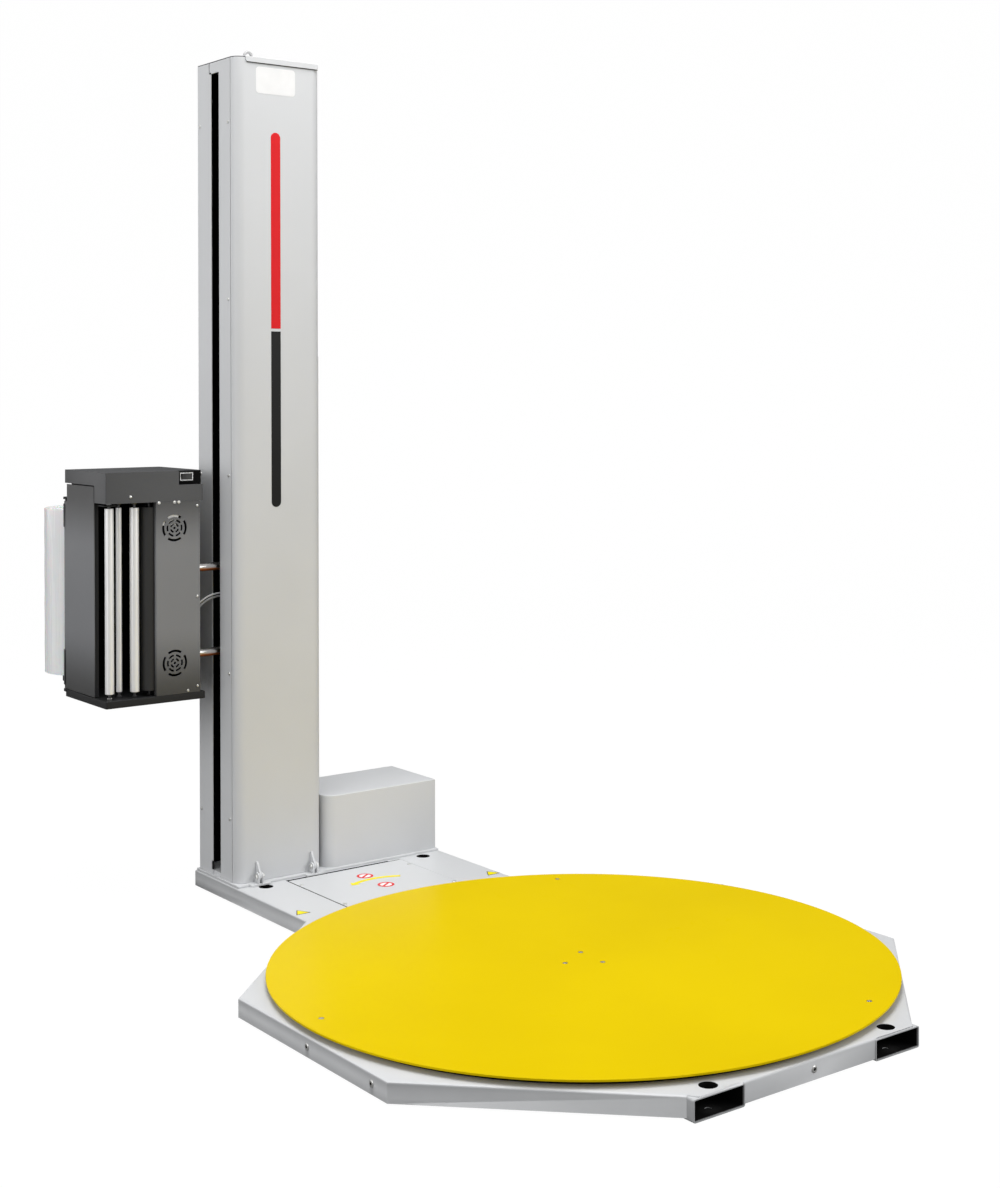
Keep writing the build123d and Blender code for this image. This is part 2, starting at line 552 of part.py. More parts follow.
eye_z = MAST_TOP + EYE_COLLAR + EYE_R - 2
eye = rod_y(EYE_X, ARM_Y - EYE_THICK / 2, ARM_Y + EYE_THICK / 2, eye_z, EYE_R)
eye += rod(EYE_X, ARM_Y, MAST_TOP, MAST_TOP + EYE_COLLAR, EYE_COLLAR_R)
eye -= rod_y(EYE_X, ARM_Y - EYE_COLLAR_R, ARM_Y + EYE_COLLAR_R, eye_z, EYE_HOLE_R)
keep("lifting_eye", eye)

mast_foot = Pos(0, 0, MAST_FOOT_Z) * extrude(mast_section(MAST_SHEET), FOOT_PLATE)
lug_profile = ((MAST_FRONT, MAST_FOOT_Z + 2), (MAST_FRONT, LUG_TOP), (MAST_FRONT - 6, LUG_TOP),
               (HINGE_Y - HINGE_CHEEK_R, HINGE_Z + 6), (HINGE_Y - HINGE_CHEEK_R, HINGE_Z - 6),
                (HINGE_Y - 6, MAST_FOOT_Z + 2))
lugs = []
for x in LUG_XS:
    face = make_face(Plane.YZ * Polyline(*lug_profile, close=True))
    lug = Pos(x - LUG_THICK / 2, 0, 0) * extrude(face, LUG_THICK, dir=(1, 0, 0))
    lugs.append(lug - rod_x(x - LUG_THICK, x + LUG_THICK, HINGE_Y, HINGE_Z, HINGE_PIN_R + RUNNING_GAP))
keep("mast_foot", mast_foot, *lugs)

hinge = []
for x in LUG_XS:
    for side in (-1, 1):
        near = x + side * (LUG_THICK / 2 + LUG_GAP)
        far = near + side * HINGE_CHEEK
        x0, x1 = sorted((near, far))
        cheek = rod_x(x0, x1, HINGE_Y, HINGE_Z, HINGE_CHEEK_R)
        cheek += block(x0, x1, HINGE_Y - HINGE_CHEEK_R, HINGE_Y + HINGE_CHEEK_R, STEP_TOP, HINGE_Z)
        hinge.append(cheek - rod_x(x0, x1, HINGE_Y, HINGE_Z, HINGE_PIN_R))
    pin_half = LUG_THICK / 2 + LUG_GAP + HINGE_CHEEK
    pin = rod_x(x - pin_half, x + pin_half, HINGE_Y, HINGE_Z, HINGE_PIN_R)
    pin += rod_x(x - pin_half - 5, x - pin_half, HINGE_Y, HINGE_Z, HINGE_HEAD_R)
    pin += rod_x(x + pin_half, x + pin_half + 5, HINGE_Y, HINGE_Z, HINGE_HEAD_R)
    hinge.append(pin)
keep("mast_hinge", *hinge)

heads = []
for y, heights in ((MAST_SEAM + 15, FRONT_SCREW_ZS), (MAST_BACK - 14, REAR_SCREW_ZS)):
    for z in heights:
        heads.append(rod_x(MAST_LEFT - SCREW_HEAD_H, MAST_LEFT, y, z, PANEL_SCREW_R))
cover_right = MAST_RIGHT + SIDE_COVER_THICK
for y in (MAST_SEAM + 6, MAST_BACK - 18):
    for z in SIDE_SCREW_ZS:
        heads.append(rod_x(cover_right, cover_right + SCREW_HEAD_H, y, z, PANEL_SCREW_R))
keep("mast_screws", *heads)

side_cover = block(MAST_RIGHT, cover_right, MAST_SEAM - 4, MAST_BACK - 8, SIDE_COVER_BOTTOM, SIDE_COVER_TOP)
collar_face = cover_right + COLLAR_PROUD
for z in (START_Z, STOP_Z):
    side_cover += rod_x(MAST_RIGHT, collar_face, BUTTON_Y, z, COLLAR_R)
    side_cover -= rod_x(MAST_RIGHT, collar_face, BUTTON_Y, z, BUTTON_R + SEAT_GAP)
keep("side_cover", side_cover)
button_foot = MAST_RIGHT + BUTTON_TRAVEL + SEAT_GAP
keep("start_button", rod_x(button_foot, collar_face + BUTTON_TRAVEL, BUTTON_Y, START_Z, BUTTON_R))
mushroom_foot = collar_face + BUTTON_TRAVEL + SEAT_GAP
stop = rod_x(button_foot, mushroom_foot, BUTTON_Y, STOP_Z, BUTTON_R)
stop += rod_x(mushroom_foot, mushroom_foot + 14, BUTTON_Y, STOP_Z, MUSHROOM_R)
keep("stop_button", stop)

# ---------------------------------------------------------------- lift

rails = [rod(RAIL_X, y, foot_top, RAIL_TOP, RAIL_R) for y in RAIL_YS]
head_plate = block(HEAD_PLATE_LEFT, HEAD_PLATE_RIGHT, RAIL_YS[0] - 2 * RAIL_R, RAIL_YS[1] + 2 * RAIL_R,
                   RAIL_TOP, RAIL_TOP + HEAD_PLATE_THICK)
pulley_half = PULLEY_WIDTH / 2
for side in (-1, 1):
    near = BELT_X + side * (pulley_half + 1.5)
    x0, x1 = sorted((near, near + side * 5))
    head_plate += block(x0, x1, ARM_Y - 12, ARM_Y + 12, BELT_HIGH_Z - 12, RAIL_TOP)
head_plate += rod_x(BELT_X - pulley_half - 6.5, BELT_X + pulley_half + 6.5, ARM_Y, BELT_HIGH_Z, PULLEY_PIN_R)
mast_stay = block(HEAD_PLATE_LEFT, HEAD_PLATE_RIGHT, MAST_FRONT + MAST_SHEET, MAST_BACK - MAST_SHEET,
                  RAIL_TOP + HEAD_PLATE_THICK, MAST_TOP - CAP_THICK - SEAT_GAP)
keep("guide_rails", *rails, head_plate, mast_stay)

pulley_bore = PULLEY_PIN_R + RUNNING_GAP
for name, z in (("pulley_bottom", BELT_LOW_Z), ("pulley_top", BELT_HIGH_Z)):
    pulley = rod_x(BELT_X - pulley_half, BELT_X + pulley_half, ARM_Y, z, PULLEY_R)
    keep(name, pulley - rod_x(BELT_X - pulley_half, BELT_X + pulley_half, ARM_Y, z, pulley_bore))

motor_left = BELT_X + pulley_half + 2
gearbox_width, gearbox_depth = LIFT_GEARBOX
motor_low = BELT_LOW_Z + 50
lift_motor = block(motor_left, motor_left + gearbox_width, ARM_Y - gearbox_depth / 2, ARM_Y + gearbox_depth / 2,
                   foot_top, motor_low)
lift_motor = fillet(lift_motor.edges().filter_by(Axis.X), 8)
lift_motor += rod(motor_left + gearbox_width / 2, ARM_Y, motor_low, motor_low + LIFT_MOTOR_LENGTH, LIFT_MOTOR_R)
lift_motor += rod_x(BELT_X - pulley_half, motor_left, ARM_Y, BELT_LOW_Z, PULLEY_PIN_R)
keep("lift_gearmotor", lift_motor)


def belt_area(radius):
    """The area inside the belt at a given radius on its pulleys, in the YZ plane."""
    strip = Plane.YZ * (Pos(ARM_Y, (BELT_LOW_Z + BELT_HIGH_Z) / 2)
                        * SlotCenterToCenter(BELT_HIGH_Z - BELT_LOW_Z, 2 * radius, rotation=90))
    return extrude(strip, PULLEY_WIDTH - 2, dir=(1, 0, 0))


belt_inner = PULLEY_R + SEAT_GAP
belt = Pos(BELT_X - pulley_half + 1, 0, 0) * (belt_area(belt_inner + BELT_THICK) - belt_area(belt_inner))
keep("lift_belt", belt)

trolley_low, trolley_high = ARM_ZS[0] - TROLLEY_OVERHANG, ARM_ZS[1] + TROLLEY_OVERHANG
trolley_right = RAIL_X + TROLLEY_HALF_X - 2
trolley = block(RAIL_X - TROLLEY_HALF_X, trolley_right, RAIL_YS[0] - TROLLEY_WALL, RAIL_YS[1] + TROLLEY_WALL,
                trolley_low, trolley_high)
trolley -= block(RAIL_X - 18, trolley_right, RAIL_YS[0] + TROLLEY_WALL, RAIL_YS[1] - TROLLEY_WALL,
                 trolley_low + 40, trolley_high - 40)
for y in RAIL_YS:
    trolley -= rod(RAIL_X, y, trolley_low, trolley_high, RAIL_R + RUNNING_GAP)
clamp_front = ARM_Y - belt_inner - BELT_THICK - SEAT_GAP
trolley += block(trolley_right - 4, BELT_X + pulley_half, clamp_front - 8, clamp_front,
                 trolley_low + 10, trolley_low + 38)
keep("trolley", trolley)

# ---------------------------------------------------------------- carriage

trolley_left = RAIL_X - TROLLEY_HALF_X
keep("arm_rods", *[rod_x(HOUSING_RIGHT, trolley_left, ARM_Y, z, ARM_R) for z in ARM_ZS])


def ear(z0, z1):
    """The tab behind the carriage's rear corner that holds a door pin."""
    tab = block(CAR_LEFT, CAR_LEFT + 16, CAR_BACK - 10, DOOR_HINGE_Y, z0, z1)
    return tab + rod(DOOR_HINGE_X, DOOR_HINGE_Y, z0, z1, DOOR_KNUCKLE_R)


tray = block(CAR_LEFT, CAR_RIGHT, CAR_FRONT, CAR_BACK, CAR_BOTTOM, TRAY_TOP)
tray = fillet(tray.edges().filter_by(Axis.Z), 5)
tray += block(ROLL_X - ROLL_ARM_HALF, ROLL_X + ROLL_ARM_HALF, CAR_BACK - 10, ROLL_Y, CAR_BOTTOM, TRAY_TOP)
tray += rod(ROLL_X, ROLL_Y, CAR_BOTTOM, TRAY_TOP, ROLL_ARM_HALF)
tray -= block(CAR_LEFT + CAR_SHEET, CAR_RIGHT - CAR_SHEET, CAR_FRONT + CAR_SHEET, CAR_BACK - CAR_SHEET,
              CAR_BOTTOM, TRAY_TOP - CAR_SHEET)
tray += ear(TRAY_TOP - 8, TRAY_TOP)
keep("carriage_tray", tray)

# C-shaped frame behind the gear cover: a folded box, with the plate that holds the rollers' upper ends
plate_high = HEAD_BOTTOM + CAR_SHEET
housing = block(HOUSING_LEFT, HOUSING_RIGHT, CAR_FRONT + CAR_SHEET, CAR_BACK - 2, TRAY_TOP, HEAD_BOTTOM)
housing -= block(HOUSING_LEFT + CAR_SHEET, HOUSING_RIGHT - CAR_SHEET, CAR_FRONT, CAR_BACK - 2 - CAR_SHEET,
                 TRAY_TOP, HEAD_BOTTOM)
housing += block(CAR_LEFT + 6, HEAD_RIGHT - CAR_SHEET, CAR_FRONT + CAR_SHEET, CAR_BACK - CAR_SHEET,
                 HEAD_BOTTOM, plate_high)
housing += ear(HEAD_BOTTOM, plate_high + 4)
keep("gear_housing", housing)

cover = block(COVER_LEFT, HOUSING_RIGHT, CAR_FRONT, CAR_FRONT + CAR_SHEET, TRAY_TOP, HEAD_BOTTOM)
for z in GRILLE_ZS:
    for r_in, r_out in GRILLE_SLOTS:
        ring = Circle(r_out) - Circle(r_in)
        spokes = [Rot(0, 0, 45 + 90 * i) * Pos(r_out / 2, 0) * Rectangle(r_out, 4) for i in range(4)]
        cut = extrude(ring - spokes, 2 * CAR_SHEET, both=True)
        cover -= Pos(GRILLE_X, CAR_FRONT, z) * Rot(90, 0, 0) * cut
keep("gear_cover", cover)

head = block(CAR_LEFT, HEAD_RIGHT, CAR_FRONT, CAR_BACK, HEAD_BOTTOM, CAR_TOP)
head = fillet(head.edges().filter_by(Axis.Z), 3)
recess_back = CAR_FRONT + RECESS_DEPTH
head -= block(CAR_LEFT + CAR_SHEET, RECESS_LEFT - CAR_SHEET, CAR_FRONT + CAR_SHEET, CAR_BACK - CAR_SHEET,
              HEAD_BOTTOM, CAR_TOP - CAR_SHEET)
head -= block(RECESS_LEFT - CAR_SHEET, HEAD_RIGHT - CAR_SHEET, recess_back + CAR_SHEET, CAR_BACK - CAR_SHEET,
              HEAD_BOTTOM, CAR_TOP - CAR_SHEET)
head -= block(RECESS_LEFT - CAR_SHEET, HEAD_RIGHT - CAR_SHEET, CAR_FRONT + CAR_SHEET, recess_back + CAR_SHEET,
              HEAD_BOTTOM, RECESS_BOTTOM - CAR_SHEET)
head -= block(RECESS_LEFT, HEAD_RIGHT, CAR_FRONT, recess_back, RECESS_BOTTOM, CAR_TOP)
head -= block(CAR_LEFT, CAR_LEFT + 10, DOOR_FRONT - 4, CAR_BACK, HEAD_BOTTOM, DOOR_TOP + 3)
head -= block(CAR_LEFT, CAR_LEFT + 20, CAR_BACK - 16, CAR_BACK, HEAD_BOTTOM, DOOR_TOP + 3)
bezel = block(SWITCH_X - SWITCH_WIDTH / 2, SWITCH_X + SWITCH_WIDTH / 2, recess_back - 5, recess_back,
              SWITCH_Z - SWITCH_HEIGHT / 2, SWITCH_Z + SWITCH_HEIGHT / 2)
rocker_x, rocker_z = SWITCH_WIDTH / 2 - SWITCH_FRAME, SWITCH_HEIGHT / 2 - SWITCH_FRAME
bezel -= block(SWITCH_X - rocker_x, SWITCH_X + rocker_x, recess_back - 5, recess_back,
               SWITCH_Z - rocker_z, SWITCH_Z + rocker_z)
keep("carriage_head", head, bezel)

rocker_low = recess_back - 4
rocker_face = ((SWITCH_X - rocker_x + 1, rocker_low - 3), (SWITCH_X, rocker_low),
               (SWITCH_X + rocker_x - 1, rocker_low - 3), (SWITCH_X, recess_back - 0.5))
rocker = prism(rocker_face, SWITCH_Z - rocker_z + 0.5, SWITCH_Z + rocker_z - 0.5)
pivot = Pos(SWITCH_X, recess_back - 2.5, 0)
keep("rocker_switch", pivot * Rot(0, 0, ROCKER_TILT) * pivot.inverse() * rocker)

pins = [rod(x, y, TRAY_TOP, HEAD_BOTTOM, ROLLER_PIN_R) for x, y, radius in ROLLERS.values()]
pins.append(rod(DOOR_HINGE_X, DOOR_HINGE_Y, TRAY_TOP, LOW_KNUCKLE[1] - 5, DOOR_PIN_R))
pins.append(rod(DOOR_HINGE_X, DOOR_HINGE_Y, HIGH_KNUCKLE[0] + 5, HEAD_BOTTOM, DOOR_PIN_R))
keep("carriage_pins", *pins)
for name, (x, y, radius) in ROLLERS.items():
    roller = rod(x, y, ROLLER_LOW, ROLLER_HIGH, radius)
    roller = chamfer(roller.edges().filter_by(GeomType.CIRCLE), 1)
    keep(name, roller - rod(x, y, ROLLER_LOW, ROLLER_HIGH, ROLLER_PIN_R + RUNNING_GAP))

door = block(CAR_LEFT, CAR_LEFT + CAR_SHEET, DOOR_FRONT, CAR_BACK - 14, TRAY_TOP + 2, DOOR_TOP)
door += block(CAR_LEFT, CAR_LEFT + CAR_SHEET, CAR_BACK - 14, CAR_BACK - 2, TRAY_TOP + 2, HEAD_BOTTOM - 4)
door += block(CAR_LEFT, CAR_LEFT + 14, DOOR_FRONT, DOOR_FRONT + CAR_SHEET, TRAY_TOP + 2, HEAD_BOTTOM - 4)
for low, high in (LOW_KNUCKLE, HIGH_KNUCKLE):
    door += rod(DOOR_HINGE_X, DOOR_HINGE_Y, low, high, DOOR_KNUCKLE_R)
    door += block(CAR_LEFT, CAR_LEFT + CAR_SHEET, CAR_BACK - 4, DOOR_HINGE_Y, low, high)
for low, high in (LOW_KNUCKLE, HIGH_KNUCKLE):
    door -= rod(DOOR_HINGE_X, DOOR_HINGE_Y, low, high, DOOR_PIN_R + RUNNING_GAP)
keep("door", door)

motor_x = (HOUSING_LEFT + HOUSING_RIGHT) / 2
motor_y = CAR_BACK - 70
gearbox_width, gearbox_depth, gearbox_height = STRETCH_GEARBOX
motor_low = TRAY_TOP + gearbox_height
stretch_motor = block(motor_x - gearbox_width / 2, motor_x + gearbox_width / 2, motor_y - gearbox_depth / 2,
                      motor_y + gearbox_depth / 2, TRAY_TOP, motor_low)
stretch_motor = fillet(stretch_motor.edges().filter_by(Axis.Z), 8)
stretch_motor += rod(motor_x, motor_y, motor_low, motor_low + STRETCH_MOTOR_LENGTH, STRETCH_MOTOR_R)
keep("prestretch_motor", stretch_motor)

fixings = [rod_y(CAR_LEFT + 72, CAR_FRONT - SCREW_HEAD_H, CAR_FRONT, HEAD_BOTTOM + 17, SCREW_R)]
cover_screw_x = HOUSING_RIGHT - 8
for x, z in ((cover_screw_x, HEAD_BOTTOM - 14), (cover_screw_x, (TRAY_TOP + HEAD_BOTTOM) / 2),
             (cover_screw_x, TRAY_TOP + 17), (HOUSING_RIGHT - 37, TRAY_TOP + 6.5)):
    fixings.append(rod_y(x, CAR_FRONT - SCREW_HEAD_H, CAR_FRONT, z, FIXING_R))
keep("carriage_screws", *fixings)

mandrel = rod(ROLL_X, ROLL_Y, TRAY_TOP, ROLL_LOW - 4, MANDREL_FLANGE_R)
mandrel += rod(ROLL_X, ROLL_Y, TRAY_TOP, ROLL_HIGH + 6, CORE_BORE - SEAT_GAP)
keep("film_mandrel", mandrel)
core = pipe(ROLL_X, ROLL_Y, ROLL_LOW - 4 + SEAT_GAP, ROLL_HIGH + 4, CORE_R, CORE_BORE)
keep("film_roll", core, pipe(ROLL_X, ROLL_Y, ROLL_LOW, ROLL_HIGH, ROLL_R, CORE_R))

cables = []
for route in CABLE_ROUTES:
    points = [Vector(*point) for point in route]
    runs = [b - a for a, b in zip(points, points[1:])]
    radii = []
    for before, after in zip(runs, runs[1:]):
        half_turn = math.radians(before.get_angle(after)) / 2
        radii.append(0.45 * min(before.length, after.length) / math.tan(half_turn))
    print("cable radii", [round(radius) for radius in radii], "length", round(sum(r.length for r in runs)))
    path = FilletPolyline(*points, radius=radii)
    cables.append(sweep(Plane(origin=points[0], z_dir=runs[0]) * Circle(CABLE_R), path=path))
keep("carriage_cables", *cables)
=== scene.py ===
import math

import bmesh
import bpy
from mathutils import Matrix, Vector


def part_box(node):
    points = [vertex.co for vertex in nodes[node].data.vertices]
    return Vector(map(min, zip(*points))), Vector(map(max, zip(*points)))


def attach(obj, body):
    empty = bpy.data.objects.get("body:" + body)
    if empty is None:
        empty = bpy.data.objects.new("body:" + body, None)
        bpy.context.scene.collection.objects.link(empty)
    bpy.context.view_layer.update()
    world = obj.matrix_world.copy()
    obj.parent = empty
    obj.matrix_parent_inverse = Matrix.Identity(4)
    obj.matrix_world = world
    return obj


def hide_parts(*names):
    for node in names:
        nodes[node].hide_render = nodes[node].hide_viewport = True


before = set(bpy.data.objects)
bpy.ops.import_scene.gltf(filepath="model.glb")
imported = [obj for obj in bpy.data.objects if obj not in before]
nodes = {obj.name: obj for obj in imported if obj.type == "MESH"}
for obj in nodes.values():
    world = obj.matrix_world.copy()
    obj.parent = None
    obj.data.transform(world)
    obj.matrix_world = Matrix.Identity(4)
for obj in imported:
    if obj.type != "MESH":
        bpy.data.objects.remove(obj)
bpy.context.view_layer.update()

# ------------------------------------------------------------------ Studio
# A pale studio floor that rises into a wall far behind and glows, as on a light table, under a white sky. One
# large soft light hangs overhead near the mast and three stand to the front right, the left and the back
# left. The camera stands at eye height, left of the machine's front.

camera_data = bpy.data.cameras.new("camera")
camera_data.sensor_width = 36.0
camera_data.lens = 54.43
camera_data.shift_x = -0.0484
camera_data.shift_y = -0.1601
camera = bpy.data.objects.new("camera", camera_data)
camera.location = (-2.6873, -3.3406, 1.4406)
camera.rotation_euler = (math.radians(90 - 0.584), math.radians(0.053), math.radians(-38.02))
bpy.context.scene.collection.objects.link(camera)
bpy.context.scene.camera = camera
bpy.context.scene.view_settings.view_transform = "Standard"


class Wire:
    """A shader socket, so that maths on it is written as a Python expression."""

    def __init__(self, finish, socket):
        self.finish = finish
        self.socket = socket

    def maths(self, operation, *values):
        return self.finish.add("ShaderNodeMath", {"operation": operation}, dict(enumerate(values)))

    def __add__(self, other):
        return self.maths("ADD", self, other)

    def __radd__(self, other):
        return self.maths("ADD", other, self)

    def __sub__(self, other):
        return self.maths("SUBTRACT", self, other)

    def __rsub__(self, other):
        return self.maths("SUBTRACT", other, self)

    def __mul__(self, other):
        return self.maths("MULTIPLY", self, other)

    def __rmul__(self, other):
        return self.maths("MULTIPLY", other, self)

    def between(self, low, high):
        """0 below low, 1 above high, and smooth from one to the other."""
        return self.finish.add("ShaderNodeMapRange", {"interpolation_type": "SMOOTHSTEP"},
                               {"Value": self, "From Min": low, "From Max": high})


class Finish:
    """One material. add() places a node, and paint() joins values to the surface's sockets."""

    def __init__(self, name, **constants):
        self.material = bpy.data.materials.new(name)
        self.material.use_nodes = True
        self.tree = self.material.node_tree
        self.surface = self.tree.nodes["Principled BSDF"]
        self.paint(**constants)

    def join(self, socket, value):
        if isinstance(value, Wire):
            self.tree.links.new(value.socket, socket)
        else:
            socket.default_value = value

    def add(self, kind, settings=None, inputs=None, output=0):
        node = self.tree.nodes.new(kind)
        for key, value in (settings or {}).items():
            setattr(node, key, value)
        for key, value in (inputs or {}).items():
            self.join(node.inputs[key], value)
        return Wire(self, node.outputs[output])

    def paint(self, **sockets):
        for name, value in sockets.items():
            self.join(self.surface.inputs[name.replace("_", " ")], value)
        return self

    def place(self, scale=(1, 1, 1)):
        """Where a point lies on the machine, in metres, scaled along each axis."""
        spot = self.add("ShaderNodeTexCoord", output=3)
        return self.add("ShaderNodeVectorMath", {"operation": "MULTIPLY"}, {0: spot, 1: scale})

    def noise(self, scale, detail=4.0, roughness=0.55, stretch=(1, 1, 1), distortion=0.0):
        return self.add("ShaderNodeTexNoise", {},
                        {"Vector": self.place(stretch), "Scale": scale, "Detail": detail,
                         "Roughness": roughness, "Distortion": distortion})

    def axis(self, letter):
        """One coordinate of a point on the machine, in metres."""
        return self.add("ShaderNodeSeparateXYZ", {}, {0: self.place()}, output="XYZ".index(letter))

    def mix(self, amount, first, second):
        """A colour between two colours."""
        first, second = (end if isinstance(end, Wire) else (*end, 1) for end in (first, second))
        return self.add("ShaderNodeMix", {"data_type": "RGBA"}, {0: amount, 6: first, 7: second}, output=2)

    def colour(self):
        """The colour that the surface has so far."""
        return Wire(self, self.surface.inputs["Base Color"].links[0].from_socket)

    def bump(self, height, strength, distance=0.001):
        return self.add("ShaderNodeBump", {}, {"Strength": strength, "Distance": distance, "Height": height})


floor_mesh = bpy.data.meshes.new("studio_floor")
work = bmesh.new()
floor_half, floor_start, floor_end, wall_top, bend_r = 14.0, -9.0, 7.0, 9.0, 2.5
rows = [(floor_start, 0.0), (floor_end, 0.0)]
rows += [(floor_end + bend_r * math.sin(a), bend_r - bend_r * math.cos(a))
         for a in (math.radians(d) for d in range(6, 91, 6))]
rows += [(floor_end + bend_r, wall_top)]
lines = [[work.verts.new((side * floor_half, y, z)) for side in (-1, 1)] for y, z in rows]
for low, high in zip(lines, lines[1:]):
    work.faces.new((low[0], low[1], high[1], high[0]))
work.to_mesh(floor_mesh)
work.free()
floor_mesh.polygons.foreach_set("use_smooth", [True] * len(floor_mesh.polygons))
studio_floor = bpy.data.objects.new("studio_floor", floor_mesh)
studio_floor.rotation_euler = (0, 0, math.radians(-38))
bpy.context.scene.collection.objects.link(studio_floor)
pale = Finish("studio_floor", Roughness=0.75)
pale.paint(Base_Color=pale.mix(pale.noise(0.6), (0.17, 0.17, 0.17), (0.18, 0.18, 0.18)))
glow = pale.add("ShaderNodeEmission", {}, {"Color": (1, 1, 1, 1), "Strength": 1.12})
seen = pale.add("ShaderNodeLightPath") * 0.88
sheen = pale.add("ShaderNodeMixShader", {}, {0: seen, 1: Wire(pale, pale.surface.outputs[0]), 2: glow})
pale.tree.links.new(sheen.socket, pale.tree.nodes["Material Output"].inputs["Surface"])
floor_mesh.materials.append(pale.material)


def soft_light(name, place, target, width, height, power):
    data = bpy.data.lights.new(name, "AREA")
    data.shape = "RECTANGLE"
    data.size, data.size_y, data.energy = width, height, power
    light = bpy.data.objects.new(name, data)
    light.location = place
    light.rotation_euler = (Vector(target) - Vector(place)).to_track_quat("-Z", "Y").to_euler()
    bpy.context.scene.collection.objects.link(light)


soft_light("overhead", (-0.3, 0.45, 4.5), (-0.2, 0.5, 0.6), 2.6, 2.6, 152)
soft_light("front_right", (3.2, -4.6, 2.8), (0, 0.6, 0.9), 3.0, 3.0, 128)
soft_light("left", (-5.2, 0.6, 1.9), (-0.3, 1.0, 1.1), 2.5, 2.5, 62)
soft_light("back_left", (-3.4, 5.6, 1.9), (-0.5, 1.3, 1.2), 1.6, 2.4, 26)
world = bpy.data.worlds.new("studio")
bpy.context.scene.world = world
world.use_nodes = True
background = world.node_tree.nodes["Background"]
background.inputs["Color"].default_value = (1, 1, 1, 1)
sky = world.node_tree.nodes.new("ShaderNodeLightPath")
brightness = world.node_tree.nodes.new("ShaderNodeMath")
brightness.operation = "MULTIPLY_ADD"
fill_light, seen_white = 0.54, 0.6
brightness.inputs[1].default_value, brightness.inputs[2].default_value = seen_white, fill_light
world.node_tree.links.new(sky.outputs["Is Camera Ray"], brightness.inputs[0])
world.node_tree.links.new(brightness.outputs[0], background.inputs["Strength"])

# ------------------------------------------------------------------ Carriage cables
# Two thin grey signal leads run from the trolley, out of the mast's slot and into the side of the film
# carriage. Each is extruded sheath round fine strands, held at both ends and hanging free between them.

cable_routes = {
    "upper_lead": ((-0.2626, 1.240, 0.852), (-0.298, 1.240, 0.8565), (-0.334, 1.240, 0.855),
                   (-0.366, 1.240, 0.845), (-0.392, 1.240, 0.824)),
    "lower_lead": ((-0.2626, 1.248, 0.843), (-0.298, 1.248, 0.847), (-0.333, 1.248, 0.845),
                   (-0.364, 1.248, 0.833), (-0.392, 1.248, 0.808)),
}
cable_diameter = 0.005
sheath = Finish("lead_sheath", Roughness=0.42)
sheath.paint(Base_Color=sheath.mix(sheath.noise(60), (0.50, 0.51, 0.52), (0.62, 0.63, 0.64)),
             Normal=sheath.bump(sheath.noise(900), 0.15))
for name, route in cable_routes.items():
    data = bpy.data.curves.new(name, "CURVE")
    data.dimensions = "3D"
    data.bevel_depth = cable_diameter / 2
    data.bevel_resolution = 6
    data.resolution_u = 24
    spline = data.splines.new("NURBS")
    spline.points.add(len(route) - 1)
    for point, spot in zip(spline.points, route):
        point.co = (*spot, 1)
    spline.order_u = 3
    spline.use_endpoint_u = True
    data.materials.append(sheath.material)
    lead = bpy.data.objects.new(name, data)
    bpy.context.scene.collection.objects.link(lead)
    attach(lead, "carriage")
    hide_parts("carriage_cables")

# ------------------------------------------------------------------ Deck
# The machine's flat base: one sheet of 3 mm steel cut to an octagon with a bridge to the mast, its skirts
# folded down all round and cut away for the fork tubes. It is powder coated light grey after welding.


def powder_coat(name, colour, roughness=0.42, tone=0.04, peel=0.10, floor_shade=0.85, **constants):
    """Powder-coated steel: a fine orange peel, slow changes of tone, and painted shade low down, near the
    floor.
    """
    finish = Finish(name, **constants)
    cloud = finish.noise(2.2, detail=3.0).between(0.3, 0.7)
    speck = finish.noise(420, detail=2.0)
    darker = tuple(c * (1 - tone) for c in colour)
    # Painted shade: below the deck's top, on the skirts near the floor, the colour turns to a darker copy,
    # with a little noise.
    shaded_colour = tuple(c * 0.60 for c in colour)
    low = 1 - finish.axis("Z").between(0.043, 0.0495)
    base = finish.mix(cloud, darker, colour)
    base = finish.mix(low * floor_shade * (0.85 + 0.3 * finish.noise(14)), base, shaded_colour)
    finish.paint(Base_Color=base,
                 Roughness=roughness + 0.10 * finish.noise(9, detail=5.0) + 0.06 * speck - 0.08,
                 Normal=finish.bump(speck, peel, 0.0006))
    return finish


def spot(axis, u, v, along):
    """A point from its two flat coordinates and its place along an axis."""
    return {"X": (along, u, v), "Y": (u, along, v), "Z": (u, v, along)}[axis]


def circle(u, v, radius, sides=40):
    turns = [2 * math.pi * i / sides for i in range(sides)]
    return [(u + radius * math.cos(a), v + radius * math.sin(a)) for a in turns]


def rounded(u0, u1, v0, v1, radius, steps=6):
    """A rectangle's outline. The radius is one for all corners, or four from the low left one round."""
    radii = radius if isinstance(radius, tuple) else (radius,) * 4
    points = []
    for (u, v, start), r in zip(((u0, v0, 180), (u1, v0, 270), (u1, v1, 0), (u0, v1, 90)), radii):
        centre_u = u + r if u == u0 else u - r
        centre_v = v + r if v == v0 else v - r
        for i in range(steps + 1 if r else 1):
            a = math.radians(start + 90 * i / steps)
            points.append((centre_u + r * math.cos(a), centre_v + r * math.sin(a)) if r else (u, v))
    return points


